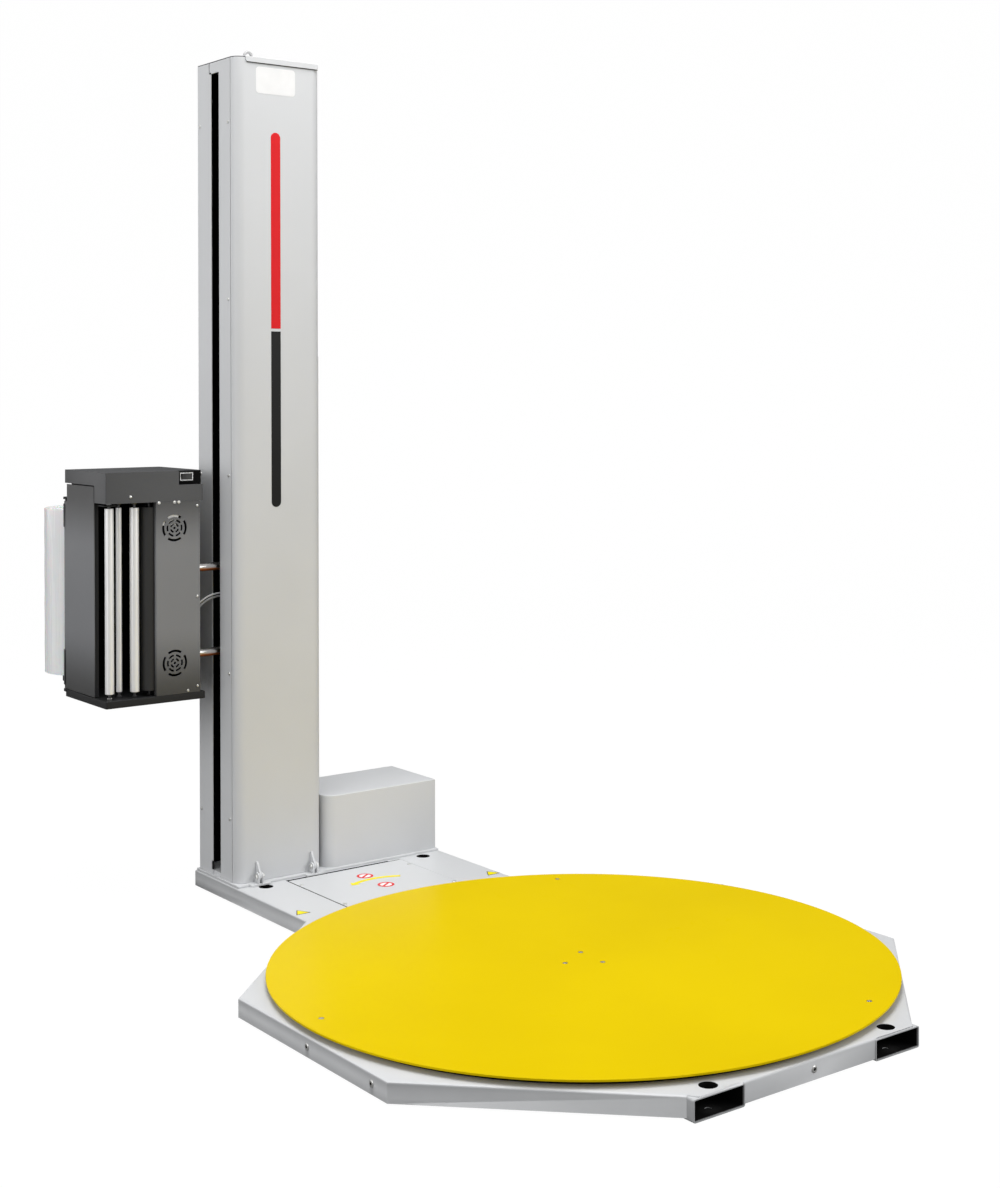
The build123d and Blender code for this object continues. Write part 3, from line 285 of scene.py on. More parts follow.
def add_sheet(work, axis, outline, holes, along):
    """A flat face with holes, and the edges of its rim in order."""
    rims = []
    for loop in (outline, *holes):
        ring = [work.verts.new(spot(axis, u, v, along)) for u, v in loop]
        rims.append([work.edges.new((ring[i - 1], ring[i])) for i in range(len(ring))])
    edges = [edge for rim in rims for edge in rim]
    made = bmesh.ops.triangle_fill(work, edges=edges, use_beauty=True, normal=spot(axis, 0, 0, 1))["geom"]
    inner = [g for g in made if isinstance(g, bmesh.types.BMEdge) and g not in edges]
    bmesh.ops.dissolve_limit(work, angle_limit=0.01, verts=[], edges=inner)
    faces = {face for edge in edges for face in edge.link_faces}
    return rims[0], list(faces)


def add_prism(work, axis, outline, low, high, holes=()):
    """A straight solid over an outline, with holes through it."""
    faces = add_sheet(work, axis, outline, holes, low)[1]
    made = bmesh.ops.extrude_face_region(work, geom=faces)["geom"]
    moved = [g for g in made if isinstance(g, bmesh.types.BMVert)]
    bmesh.ops.translate(work, verts=moved, vec=spot(axis, 0, 0, high - low))


def add_block(work, low, high):
    add_prism(work, "Z", ((low[0], low[1]), (high[0], low[1]), (high[0], high[1]), (low[0], high[1])),
              low[2], high[2])


def add_cover(work, outline, low, high, bend, holes=(), gaps=()):
    """A folded cover that is open below: a flat top and skirts, but for the rim's numbered gaps."""
    rim, faces = add_sheet(work, "Z", outline, holes, high)
    skirts = [edge for number, edge in enumerate(rim) if number not in gaps]
    made = bmesh.ops.extrude_edge_only(work, edges=skirts)["geom"]
    moved = [g for g in made if isinstance(g, bmesh.types.BMVert)]
    bmesh.ops.translate(work, verts=moved, vec=(0, 0, low - high))
    bmesh.ops.recalc_face_normals(work, faces=work.faces)
    bmesh.ops.bevel(work, geom=skirts, offset=bend, segments=4, profile=0.5, affect="EDGES")


def put(name, work, finish, body, stands_for=(), edge=0.0, sheet=0.0, sharp=35):
    """Finish a piece: its normals and smooth faces, its eased edges, its material and what it rides on."""
    bmesh.ops.recalc_face_normals(work, faces=work.faces)
    mesh = bpy.data.meshes.new(name)
    work.to_mesh(mesh)
    work.free()
    mesh.materials.append(finish.material)
    mesh.shade_smooth()
    mesh.set_sharp_from_angle(angle=math.radians(sharp))
    piece = bpy.data.objects.new(name, mesh)
    bpy.context.scene.collection.objects.link(piece)
    if sheet:
        wall = piece.modifiers.new("sheet", "SOLIDIFY")
        wall.thickness, wall.offset, wall.use_even_offset = sheet, -1, True
    if edge:
        ease = piece.modifiers.new("eased_edges", "BEVEL")
        ease.width, ease.segments, ease.limit_method = edge, 2, "ANGLE"
        ease.angle_limit = math.radians(sharp)
        ease.harden_normals = True
    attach(piece, body)
    if stands_for:
        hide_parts(*stands_for)
    return piece


def corners(node):
    """A node's lowest and highest corners as vectors."""
    return [Vector(corner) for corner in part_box(node)]


def plan(low, high, margin, radius, steps=6):
    """The rounded outline of a box seen from above, drawn in by a margin."""
    return rounded(low.x + margin, high.x - margin, low.y + margin, high.y - margin, radius, steps)


paint_grey = (0.612, 0.622, 0.635)
grey_paint = powder_coat("grey_powder_coat", paint_grey)
deck_low, deck_high = corners("base_deck")
tube_width = 0.139
tube_low, tube_high = corners("fork_tubes")
tube_inner, tube_outer = tube_high.x - tube_width, tube_high.x
half = deck_high.x
corner = half * math.tan(math.radians(22.5))
bridge_half = tube_outer + 0.005
slant = half + corner
deck_sheet = 0.003
right_side = [(tube_inner, -half), (corner, -half), (tube_outer, tube_outer - slant), (half, -corner),
              (half, corner), (bridge_half, slant - bridge_half), (bridge_half, deck_high.y),
              (tube_outer, deck_high.y), (tube_inner, deck_high.y)]
left_side = [(-x, y) for x, y in reversed(right_side)]
fork_gaps = (1, 2, 8, 10, 16, 17)
hatch_low, hatch_high = corners("hatch_plate")
hatch_gap = 0.0015
anchor_x = (tube_inner + tube_outer) / 2
anchor_ys = (-0.722, 1.078)
access_r, anchor_r = 0.0203, 0.007
deck_holes = [circle(side * anchor_x, y, access_r) for side in (-1, 1) for y in anchor_ys]
hub_hole_r = 0.065
deck_holes.append(circle(0, 0, hub_hole_r))
deck_holes.append(plan(hatch_low, hatch_high, -hatch_gap, 0.002))
track_r, wheel_hole_half = corners("wheel_track")[1].x - 0.030, 0.026
wheel_angles = (0, 50, 130, 180, 230, 310)
for angle in wheel_angles:
    turn = Matrix.Rotation(math.radians(angle), 2)
    wheel_hole = rounded(track_r - wheel_hole_half, track_r + wheel_hole_half, -wheel_hole_half,
                         wheel_hole_half, 0.004)
    deck_holes.append([tuple(turn @ Vector(p)) for p in wheel_hole])
work = bmesh.new()
deck_bend = 0.005
add_cover(work, right_side + left_side, deck_low.z, deck_high.z, deck_bend, deck_holes, fork_gaps)
put("deck", work, grey_paint, "base", ["base_deck"], edge=0.0009, sheet=deck_sheet)

# ------------------------------------------------------------------ Fork tubes
# Two rectangular steel tubes run below the deck from front to back and take a pallet truck's forks. Each
# has an anchor hole in its floor under a larger access hole. Inside they are painted near black from just
# behind their front ends: painted shade.


def carved(body, cutter):
    """Cut one closed mesh out of another."""
    pair = []
    for part in (body, cutter):
        mesh = bpy.data.meshes.new("cut")
        bmesh.ops.recalc_face_normals(part, faces=part.faces)
        part.to_mesh(mesh)
        part.free()
        pair.append(bpy.data.objects.new("cut", mesh))
        bpy.context.scene.collection.objects.link(pair[-1])
    cut = pair[0].modifiers.new("cut", "BOOLEAN")
    cut.object, cut.solver = pair[1], "EXACT"
    graph = bpy.context.evaluated_depsgraph_get()
    result = bpy.data.meshes.new_from_object(pair[0].evaluated_get(graph))
    left = bmesh.new()
    left.from_mesh(result)
    bpy.data.meshes.remove(result)
    for used in pair:
        spare = used.data
        bpy.data.objects.remove(used)
        bpy.data.meshes.remove(spare)
    return left


def within(distance, low, high):
    """1 between two inner faces of a tube and 0 just outside them."""
    near, far = 0.0002, 0.0006
    return distance.between(low - far, low - near) * (1 - distance.between(high + near, high + far))


tube_wall, shade_onset, dark_start = 0.003, 0.001, 0.006
tube_paint = powder_coat("tube_powder_coat", paint_grey, Specular_IOR_Level=0.12)
off_middle = tube_paint.axis("X").maths("ABSOLUTE", tube_paint.axis("X"))
# Painted shade: the tubes' inner faces turn near black a little way in from the front ends.
inner_shade = within(tube_paint.axis("Z"), tube_wall, tube_high.z - tube_wall)
inner_shade = inner_shade * within(off_middle, tube_inner + tube_wall, tube_outer - tube_wall)
inner_shade = inner_shade * tube_paint.axis("Y").between(tube_low.y + shade_onset, tube_low.y + dark_start)
tube_paint.paint(Base_Color=tube_paint.mix(inner_shade, tube_paint.colour(), (0.004, 0.004, 0.004)),
                 Roughness=0.45 + 0.5 * inner_shade)
drill_past = 0.01
work, drill = bmesh.new(), bmesh.new()
for side in (-1, 1):
    x0, x1 = sorted((side * tube_inner, side * tube_outer))
    outer = rounded(x0, x1, tube_low.z, tube_high.z, 0.005)
    inner = rounded(x0 + tube_wall, x1 - tube_wall, tube_low.z + tube_wall, tube_high.z - tube_wall, 0.0025)
    add_prism(work, "Y", outer, tube_low.y, tube_high.y, [inner])
    for y in anchor_ys:
        for r, z in ((access_r, tube_high.z), (anchor_r, tube_low.z)):
            add_prism(drill, "Z", circle(side * anchor_x, y, r), z - drill_past, z + drill_past)
put("fork_pockets", carved(work, drill), tube_paint, "base", ["fork_tubes"], edge=0.0005)

# ------------------------------------------------------------------ Hatch and its screws
# A loose plate of the same sheet closes the opening over the drive chain. It lies on a black strip whose lip
# fills the wider gaps at its left and back, as painted shadow, and is held by four button-head screws. Three
# more such screws close the skirts, with black discs in their sockets as painted shade. Black rings line the
# access holes, and black discs lie in the anchor holes below them: painted shade in the holes.


def moulded(name, colour, roughness=0.4, grain_size=700, relief=0.12, **constants):
    """Moulded plastic or rubber with a faint grain."""
    finish = Finish(name, **constants)
    grain = finish.noise(grain_size, detail=2.0)
    finish.paint(Base_Color=finish.mix(finish.noise(25), tuple(c * 0.85 for c in colour), colour),
                 Roughness=roughness + 0.1 * grain, Normal=finish.bump(grain, relief, 0.0003))
    return finish


def machined_metal(name, colour, roughness, streaks=(1, 1, 1), dark=0.9):
    """Bright or plated metal with fine tool marks along one direction."""
    finish = Finish(name, Metallic=1.0)
    marks = finish.noise(300, detail=3.0, stretch=streaks)
    finish.paint(Base_Color=finish.mix(marks, tuple(c * dark for c in colour), colour),
                 Roughness=roughness + 0.15 * marks, Normal=finish.bump(marks, 0.08, 0.0004))
    return finish


def aim(origin, direction):
    """The place of a shape whose own Z points along a direction from an origin."""
    return Matrix.Translation(origin) @ Vector(direction).to_track_quat("Z", "Y").to_matrix().to_4x4()


def add_turned(work, place, profile, sides=32, hexagon=(), closed=False):
    """Spin a profile of (radius, height) points. The rings numbered in hexagon have six sides."""
    rings = []
    for number, (radius, height) in enumerate(profile):
        ring = []
        for i in range(sides if radius else 1):
            a = 2 * math.pi * i / sides
            flat = math.cos(math.pi / 6) / math.cos(a % (math.pi / 3) - math.pi / 6)
            r = radius * flat if number in hexagon else radius
            ring.append(work.verts.new(place @ Vector((r * math.cos(a), r * math.sin(a), height))))
        rings.append(ring)
    pairs = list(zip(rings, rings[1:]))
    if closed:
        pairs.append((rings[-1], rings[0]))
    for low, high in pairs:
        for i in range(sides):
            j = (i + 1) % sides
            quad = (low[i % len(low)], low[j % len(low)], high[j % len(high)], high[i % len(high)])
            work.faces.new(list(dict.fromkeys(quad)))


def add_button_head(work, at, direction, radius, height):
    """A domed screw head with a hexagon socket, standing on a surface."""
    socket = 0.46 * radius
    profile = ((0, 0), (radius, 0), (radius, 0.3 * height), (0.93 * radius, 0.62 * height),
               (0.8 * radius, 0.88 * height), (0.62 * radius, height), (socket, height),
               (socket, 0.35 * height), (0, 0.3 * height))
    add_turned(work, aim(at, direction), profile, 24, hexagon=(6, 7))


def pin(radius, low, high):
    """The profile of a plain round pin or disc."""
    return (0, low), (radius, low), (radius, high), (0, high)


def bush(inner, outer, low, high):
    """The profile of a plain ring. It is spun closed."""
    return (inner, low), (outer, low), (outer, high), (inner, high)


zinc = machined_metal("zinc_plate", (0.72, 0.72, 0.70), 0.24)
# A near-black matt filler, put in gaps, sockets and holes where there is shade: painted shade.
shade_black = moulded("painted_shade_black", (0.006, 0.006, 0.006), 0.85, Specular_IOR_Level=0.1)
# Painted shadow: a black strip under the hatch's edge, whose lip fills the wider gaps at its left and back.
gap_shade_width, gap_shade_top = 0.016, hatch_low.z + 0.0006
reach = hatch_gap * 0.9
work = bmesh.new()
add_prism(work, "Z", plan(hatch_low, hatch_high, -reach, 0.002), hatch_low.z, gap_shade_top,
          [plan(hatch_low, hatch_high, gap_shade_width, 0.002)])
slack, slack_back, slack_small, hair = 0.0030, 0.0090, 0.0004, 0.0002
hatch_left, hatch_right = hatch_low.x + slack, hatch_high.x - slack_small
hatch_front, hatch_back = hatch_low.y + slack_small, hatch_high.y - slack_back
lip_end, lip_left, lip_front = hatch_high.x - 0.040, hatch_left - hair, hatch_back + hair
lip = [(hatch_low.x - reach, hatch_low.y), (lip_left, hatch_low.y), (lip_left, lip_front),
       (lip_end, lip_front), (lip_end, hatch_high.y + reach), (hatch_low.x - reach, hatch_high.y + reach)]
add_prism(work, "Z", lip, hatch_low.z + 0.0007, hatch_high.z - 0.0004)
put("hatch_gap_shade", work, shade_black, "base")
work = bmesh.new()
add_prism(work, "Z", rounded(hatch_left, hatch_right, hatch_front, hatch_back, 0.001),
          hatch_low.z + 0.0007, hatch_high.z)
put("hatch", work, grey_paint, "base", ["hatch_plate"], edge=0.0006)
hatch_screw_x, hatch_screw_ys = hatch_high.x - 0.0105, (hatch_low.y + 0.057, hatch_high.y - 0.0685)
hatch_head_r, skirt_head_r, head_rise = 0.0055, 0.0080, 0.0019
work, sockets = bmesh.new(), bmesh.new()
for side in (-1, 1):
    for y in hatch_screw_ys:
        add_button_head(work, (side * hatch_screw_x, y, hatch_high.z), (0, 0, 1), hatch_head_r, head_rise)
skirt_z = (deck_low.z + deck_high.z) / 2
# Black discs in the skirt screws' sockets: painted shade in the sockets.
socket_r, socket_low, socket_high = 0.0036, 0.0005, 0.0016
left_ys, front_x = (0.004, -0.254), 0.007
skirt_screws = [((-half, y, skirt_z), (-1, 0, 0)) for y in left_ys]
skirt_screws.append(((front_x, -half, skirt_z), (0, -1, 0)))
for at, outward in skirt_screws:
    add_button_head(work, at, outward, skirt_head_r, head_rise)
    add_turned(sockets, aim(at, outward), pin(socket_r, socket_low, socket_high), 24)
put("deck_screws", work, zinc, "base", ["base_screws"], edge=0.0002)
put("skirt_socket_shade", sockets, shade_black, "base")
work = bmesh.new()
# Painted shade: black rings line the access holes and black discs lie in the anchor holes below them.
hole_shade_outer, hole_shade_wall, hole_shade_drop = access_r - 0.0003, 0.0011, 0.012
anchor_shade_r, anchor_shade_low, anchor_shade_high = anchor_r - 0.0004, 0.0004, 0.0014
for side in (-1, 1):
    for y in anchor_ys:
        place = Matrix.Translation((side * anchor_x, y, 0))
        sleeve = bush(hole_shade_outer - hole_shade_wall, hole_shade_outer, tube_high.z - hole_shade_drop, deck_high.z - 0.0008)
        add_turned(work, place, sleeve, 40, closed=True)
        add_turned(work, place, pin(anchor_shade_r, anchor_shade_low, anchor_shade_high), 24)
put("hole_shade", work, shade_black, "base")

# ------------------------------------------------------------------ Deck signs
# Self-adhesive vinyl signs on the deck, in plain shapes: two yellow triangles with a black border beside
# the mast, and on the hatch a curved yellow arrow between two red rings with a bar across.


def vinyl(name, colour):
    finish = Finish(name, Specular_IOR_Level=0.12)
    finish.paint(Base_Color=finish.mix(finish.noise(30), tuple(c * 0.9 for c in colour), colour),
                 Roughness=0.35 + 0.1 * finish.noise(200))
    return finish


def sign(name, finish, work):
    put(name, work, finish, "base")


def inset(points, share):
    """An outline shrunk towards its middle."""
    middle = sum((Vector(p) for p in points), Vector((0, 0))) / len(points)
    return [tuple(middle + (Vector(p) - middle) * share) for p in points]


def arc(u, v, radius, start, end, steps=8):
    angles = [math.radians(start + (end - start) * i / steps) for i in range(steps + 1)]
    return [(u + radius * math.cos(a), v + radius * math.sin(a)) for a in angles]


yellow_vinyl = vinyl("yellow_vinyl", (0.90, 0.78, 0.0))
black_vinyl = vinyl("black_vinyl", (0.010, 0.010, 0.010))
red_vinyl = vinyl("red_vinyl", (0.72, 0.006, 0.010))
white_vinyl = vinyl("white_vinyl", (0.85, 0.85, 0.85))
vinyl_low = deck_high.z + 0.0001
vinyl_high = deck_high.z + 0.0004
triangle_r, triangle_x, triangle_y, fill_share = 0.025, 0.31, 0.80, 0.82
edge_work, fill_work = bmesh.new(), bmesh.new()
for side in (-1, 1):
    points = [(side * triangle_x + triangle_r * math.sin(a), triangle_y + triangle_r * math.cos(a))
              for a in (0, -2 * math.pi / 3, 2 * math.pi / 3)]
    add_prism(edge_work, "Z", points, vinyl_low, vinyl_high, [inset(points, fill_share)])
    add_prism(fill_work, "Z", inset(points, fill_share), vinyl_low, vinyl_high)
sign("sign_triangle_borders", black_vinyl, edge_work)
sign("sign_triangles", yellow_vinyl, fill_work)
ring_r, ring_band, bar_turn = 0.0235, 0.0068, 35
edge_work, fill_work = bmesh.new(), bmesh.new()
ring_places = ((0.011, 0.999), (0.011, 0.889))
for x, y in ring_places:
    add_prism(fill_work, "Z", circle(x, y, ring_r - ring_band), vinyl_low, vinyl_high)
    add_prism(edge_work, "Z", circle(x, y, ring_r), vinyl_low, vinyl_high, [circle(x, y, ring_r - ring_band)])
    turn = Matrix.Rotation(math.radians(bar_turn), 2)
    bar = [tuple(Vector((x, y)) + turn @ Vector(p))
           for p in rounded(ring_band - ring_r, ring_r - ring_band, -ring_band / 2, ring_band / 2, 0)]
    add_prism(edge_work, "Z", bar, vinyl_low, vinyl_high + 0.0001)
sign("sign_rings", red_vinyl, edge_work)
sign("sign_ring_grounds", white_vinyl, fill_work)
arrow_r = 0.152
arrow_middle = (0.010, 0.962 - arrow_r)
shaft_half, head_half = 0.0070, 0.017
sweep_start, sweep_end, tip_turn = 58, 114, math.degrees(0.13)
bow = arc(*arrow_middle, arrow_r + shaft_half, sweep_start, sweep_end, 14)
under = arc(*arrow_middle, arrow_r - shaft_half, sweep_start, sweep_end, 14)
head = [arc(*arrow_middle, r, a, a, 1)[0]
        for r, a in ((arrow_r + head_half, sweep_end), (arrow_r, sweep_end + tip_turn),
                     (arrow_r - head_half, sweep_end))]
work = bmesh.new()
add_prism(work, "Z", bow + head + under[::-1], vinyl_low, vinyl_high)
sign("sign_arrow", yellow_vinyl, work)

# ------------------------------------------------------------------ Mast step
# A 6 mm steel plate welded on the bridge, which the mast and the cabinet stand on, with two short tabs in
# front under the hinges. It is painted with the deck.

step_low, step_high = corners("mast_base_plate")
hinge_low, hinge_high = corners("mast_hinge")
hinge_half, tab_half = 0.0135, 0.030
lug_xs = (hinge_low.x + hinge_half, hinge_high.x - hinge_half)
step_front = 1.104
front = []
for x in lug_xs:
    left, right = x - tab_half, x + tab_half
    front += [(left, step_front), (left, step_low.y), (right, step_low.y), (right, step_front)]
outline = [(step_low.x, step_front), *front, (step_high.x, step_front), (step_high.x, step_high.y),
           (step_low.x, step_high.y)]
work = bmesh.new()
add_prism(work, "Z", outline, step_low.z + 0.0001, step_high.z)
put("mast_step", work, grey_paint, "base", ["mast_base_plate"], edge=0.0012)

# ------------------------------------------------------------------ Turning gear cabinet
# A folded sheet cover over the turntable's gearmotor, open below and screwed down inside its skirts, with
# one large round corner beside the mast. Its supply lead would enter through a nylon gland at the back.


def dress(finish, *names):
    """Give CAD nodes a finish."""
    for name in names:
        mesh = nodes[name].data
        mesh.materials.clear()
        mesh.materials.append(finish.material)


cabinet_low, cabinet_high = corners("cabinet_cover")
cabinet_corners, cabinet_bend = (0.036, 0.003, 0.003, 0.003), 0.0025
work = bmesh.new()
add_cover(work, plan(cabinet_low, cabinet_high, 0, cabinet_corners, 10), cabinet_low.z, cabinet_high.z,
          cabinet_bend)
put("gear_cabinet", work, grey_paint, "base", ["cabinet_cover"], edge=0.0006, sheet=deck_sheet)
black_plastic = moulded("black_plastic", (0.02, 0.02, 0.02))
casting = powder_coat("motor_casting", (0.16, 0.18, 0.20), roughness=0.5, peel=0.5)
dress(black_plastic, "cable_gland")
dress(casting, "turn_gearmotor")

# ------------------------------------------------------------------ Turntable
# A 5 mm steel disc 1.5 m across, powder coated glossy yellow, bolted to a hub in the middle and to the
# wheel track near its rim with countersunk socket screws. It runs on six nylon wheels set in the deck, and
# a black ring on the deck, set back under its rim, stands in for the shadow in the gap: painted shadow.

table_low, table_high = corners("turntable_plate")
table_r = table_high.x
yellow = Finish("yellow_powder_coat", Specular_IOR_Level=0.03)
cloud = yellow.noise(1.6, detail=3.0).between(0.32, 0.68)
fine = yellow.noise(500, detail=2.0)
scuff = yellow.noise(6, detail=8.0, roughness=0.75, distortion=1.0).between(0.60, 0.72)
base = yellow.mix(cloud, (0.650, 0.472, 0.0), (0.680, 0.500, 0.0))
base = yellow.mix(scuff * 0.08, base, (0.66, 0.53, 0.01))
yellow.paint(Base_Color=base, Roughness=0.28 + 0.12 * scuff + 0.04 * fine,
             Normal=yellow.bump(fine, 0.04, 0.0003))
work = bmesh.new()
# Painted shadow: a black ring on the deck under the table's rim, set back from its edge.
rim_shade_r, rim_shade_depth, rim_shade_gap = table_r - 0.024, 0.002, 0.0005
rim_shade = bush(rim_shade_r - rim_shade_depth, rim_shade_r, deck_high.z + rim_shade_gap, table_low.z - rim_shade_gap)
add_turned(work, Matrix(), rim_shade, 128, closed=True)
put("rim_gap_shade", work, shade_black, "base")
centre_screw_r, rim_screw_r, screw_angles = 0.052, table_r - 0.050, (57, 177, 297)
sink_r = 0.0066
screw_spots = [(r * math.cos(math.radians(a)), r * math.sin(math.radians(a)))
               for r in (centre_screw_r, rim_screw_r) for a in screw_angles]
work = bmesh.new()
add_prism(work, "Z", circle(0, 0, table_r, 256), table_low.z, table_high.z,
          [circle(x, y, sink_r, 24) for x, y in screw_spots])
put("turntable", work, yellow, "turntable", ["turntable_plate"], edge=0.0012)
shank_r, head_r, hex_r = 0.0040, 0.0062, 0.0032
shank_end, head_face, hex_floor = table_low.z + 0.0005, table_high.z - 0.0004, table_high.z - 0.0020
countersunk = ((0, shank_end), (shank_r, shank_end), (head_r, head_face - 0.0012), (head_r, head_face),
               (hex_r, head_face), (hex_r, hex_floor), (0, hex_floor - 0.0001))
nut_r, nut_high, nut_ease = 0.0080, 0.0070, 0.0006
nut = ((0, 0), (nut_r - 0.0005, 0), (nut_r, nut_ease), (nut_r, nut_high - nut_ease),
       (nut_r - 0.0005, nut_high), (0, nut_high))
work = bmesh.new()
for x, y in screw_spots:
    add_turned(work, Matrix.Translation((x, y, 0)), countersunk, 24, hexagon=(4, 5))
    if math.hypot(x, y) > 2 * centre_screw_r:
        add_turned(work, Matrix.Translation((x, y, table_low.z - nut_high)), nut, 24, hexagon=(1, 2, 3, 4))
put("turntable_fixings", work, zinc, "turntable", ["turntable_screws"], edge=0.0002)
steel = machined_metal("oiled_steel", (0.16, 0.16, 0.16), 0.36)
dress(steel, "turntable_hub", "hub_sprocket", "drive_sprocket", "drive_chain")
dress(zinc, "wheel_mounts", "centre_foot", "wheel_track")
nylon = moulded("cast_polyamide", (0.72, 0.70, 0.62))
wheel_bore, wheel_half, web_half, wheel_ease = 0.0051, 0.0130, 0.0105, 0.0015
for number in range(1, len(wheel_angles) + 1):
    wheel_low, wheel_high = corners(f"support_wheel_{number}")
    middle = (wheel_low + wheel_high) / 2
    wheel_r = (wheel_high.z - wheel_low.z) / 2
    profile = ((wheel_bore, -wheel_half), (0.008, -wheel_half), (0.009, -web_half), (0.018, -web_half),
               (0.019, -wheel_half), (wheel_r - wheel_ease, -wheel_half), (wheel_r, wheel_ease - wheel_half))
    profile += tuple((r, -z) for r, z in reversed(profile))
    work = bmesh.new()
    add_turned(work, aim(middle, (middle.x, middle.y, 0)), profile, 40, closed=True)
    put(f"wheel_{number}", work, nylon, f"support_wheel_{number}",
        [f"support_wheel_{number}"])
dress(grey_paint, "cross_members")
chrome = machined_metal("hard_chrome", (0.86, 0.86, 0.87), 0.06, streaks=(8, 1, 1))
dress(chrome, "hub_bearing")

# ------------------------------------------------------------------ Mast covers
# The mast is a tall column of 2.5 mm folded panels, light grey like the deck. A cover with two round
# corners makes its front, and two flat strips leave a slot for the carriage arms in its left side. A back
# panel and a right panel close the rest. Inside, the panels are lined with a black sheet: painted shade
# inside the mast.


def folded(path, thickness):
    """The outline of a sheet folded along a path, with its thickness on the path's left."""
    points = [Vector(p) for p in path]
    runs = [(b - a).normalized() for a, b in zip(points, points[1:])]
    inner = []
    for number, point in enumerate(points):
        before = runs[max(number - 1, 0)]
        after = runs[min(number, len(runs) - 1)]
        normals = Vector((-before.y, before.x)), Vector((-after.y, after.x))
        inner.append(tuple(point + (normals[0] + normals[1]) * thickness / (1 + normals[0].dot(normals[1]))))
    return [tuple(p) for p in points] + inner[::-1]


front_low, front_high = corners("mast_front_cover")
back_low, back_high = corners("mast_back_panel")
mast_left, mast_right, mast_front, mast_back = front_low.x, front_high.x, front_low.y, back_high.y
mast_foot_z, panel_top, seam = front_low.z, front_high.z, front_high.y
mast_r, mast_sheet, seam_gap = 0.030, 0.0025, 0.0028
path = arc(mast_left + mast_r, seam, mast_r, 180, 270) + arc(mast_right - mast_r, seam, mast_r, 270, 360)
work = bmesh.new()
add_prism(work, "Z", folded(path, mast_sheet), mast_foot_z, panel_top)
put("mast_front", work, grey_paint, "mast", ["mast_front_cover"], edge=0.0006)
trolley_low, trolley_high = corners("trolley")
arm_y = (trolley_low.y + trolley_high.y) / 2
slot_front, slot_back = arm_y - 0.0245, arm_y + 0.0220
cap_low, cap_high = corners("mast_cap")
slot_top = cap_high.z - 0.034
lap_back, lap_low, lap_gap = slot_back + 0.0085, slot_top + 0.004, 0.0042
lap_front, notch_low, notch_high, notch_depth = slot_back - 0.0005, 0.067, 0.0925, 0.009
strip_back = mast_back - mast_sheet
front_strip = [(seam + seam_gap, mast_foot_z), (slot_front, mast_foot_z), (slot_front, slot_top),
               (lap_front, slot_top), (lap_front, lap_low), (lap_back, lap_low),
               (lap_back, panel_top), (seam + seam_gap, panel_top)]
rear_strip = [(slot_back, mast_foot_z), (strip_back, mast_foot_z), (strip_back, panel_top),
              (lap_back + lap_gap, panel_top), (lap_back + lap_gap, lap_low - lap_gap),
              (slot_back, lap_low - lap_gap), (slot_back, notch_high), (slot_back + notch_depth, notch_high),
              (slot_back + notch_depth, notch_low), (slot_back, notch_low)]
for name, outline in (("mast_strip_front", front_strip), ("mast_strip_rear", rear_strip)):
    work = bmesh.new()
    add_prism(work, "X", outline, mast_left, mast_left + mast_sheet)
    put(name, work, grey_paint, "mast", ["mast_side_strips"], edge=0.0006)
work = bmesh.new()
add_prism(work, "Z", rounded(mast_left, mast_right, back_low.y, mast_back, (0, 0, 0.0015, 0.0015), 3),
          mast_foot_z, panel_top)
put("mast_rear", work, grey_paint, "mast", ["mast_back_panel"], edge=0.0006)
button_hole_r, lining_hole_r = 0.0112, 0.015
button_spots = []
for name in ("start_button", "stop_button"):
    low, high = corners(name)
    button_spots.append(((low.y + high.y) / 2, (low.z + high.z) / 2, high.x))
button_holes = [circle(y, z, button_hole_r) for y, z, face in button_spots]
work = bmesh.new()
add_prism(work, "X", rounded(seam + seam_gap, back_low.y - hair, mast_foot_z, panel_top, 0),
          mast_right - mast_sheet, mast_right, button_holes)
put("mast_right_side", work, grey_paint, "mast", ["mast_right_panel"], edge=0.0006)
# A near-black lining, used inside the mast, under the cap, in the switch recess and behind the rollers:
# painted shade.
shade_lining = moulded("black_shade_lining", (0.005, 0.005, 0.005), 0.9, Specular_IOR_Level=0.1)
lining_thick, lining_in, lining_low, lining_high = 0.0008, mast_sheet + 0.0003, mast_foot_z + 0.011, panel_top - 0.001
path = [(mast_left + lining_in, slot_front - 0.001)]
path += arc(mast_left + mast_r, seam, mast_r - lining_in, 180, 270)
path += arc(mast_right - mast_r, seam, mast_r - lining_in, 270, 360)
path += [(mast_right - lining_in, mast_back - lining_in), (mast_left + lining_in, mast_back - lining_in),
         (mast_left + lining_in, slot_back + 0.0008)]
work, drill = bmesh.new(), bmesh.new()
add_prism(work, "Z", folded(path, lining_thick), lining_low, lining_high)
for y, z, face in button_spots:
    add_prism(drill, "X", circle(y, z, lining_hole_r), mast_right - 2 * drill_past, mast_right + drill_past)
put("mast_lining", carved(work, drill), shade_lining, "mast")

# ------------------------------------------------------------------ Mast cap and lifting eye
# The cap is a flat lid with the mast's outline and a narrow flange folded down over the front cover. A black
# strip under both shows as a line: painted shadow in the joints. The lifting eye on the lid is a forged steel
# ring on a collar, painted with the mast but given a darker grey: painted shade.


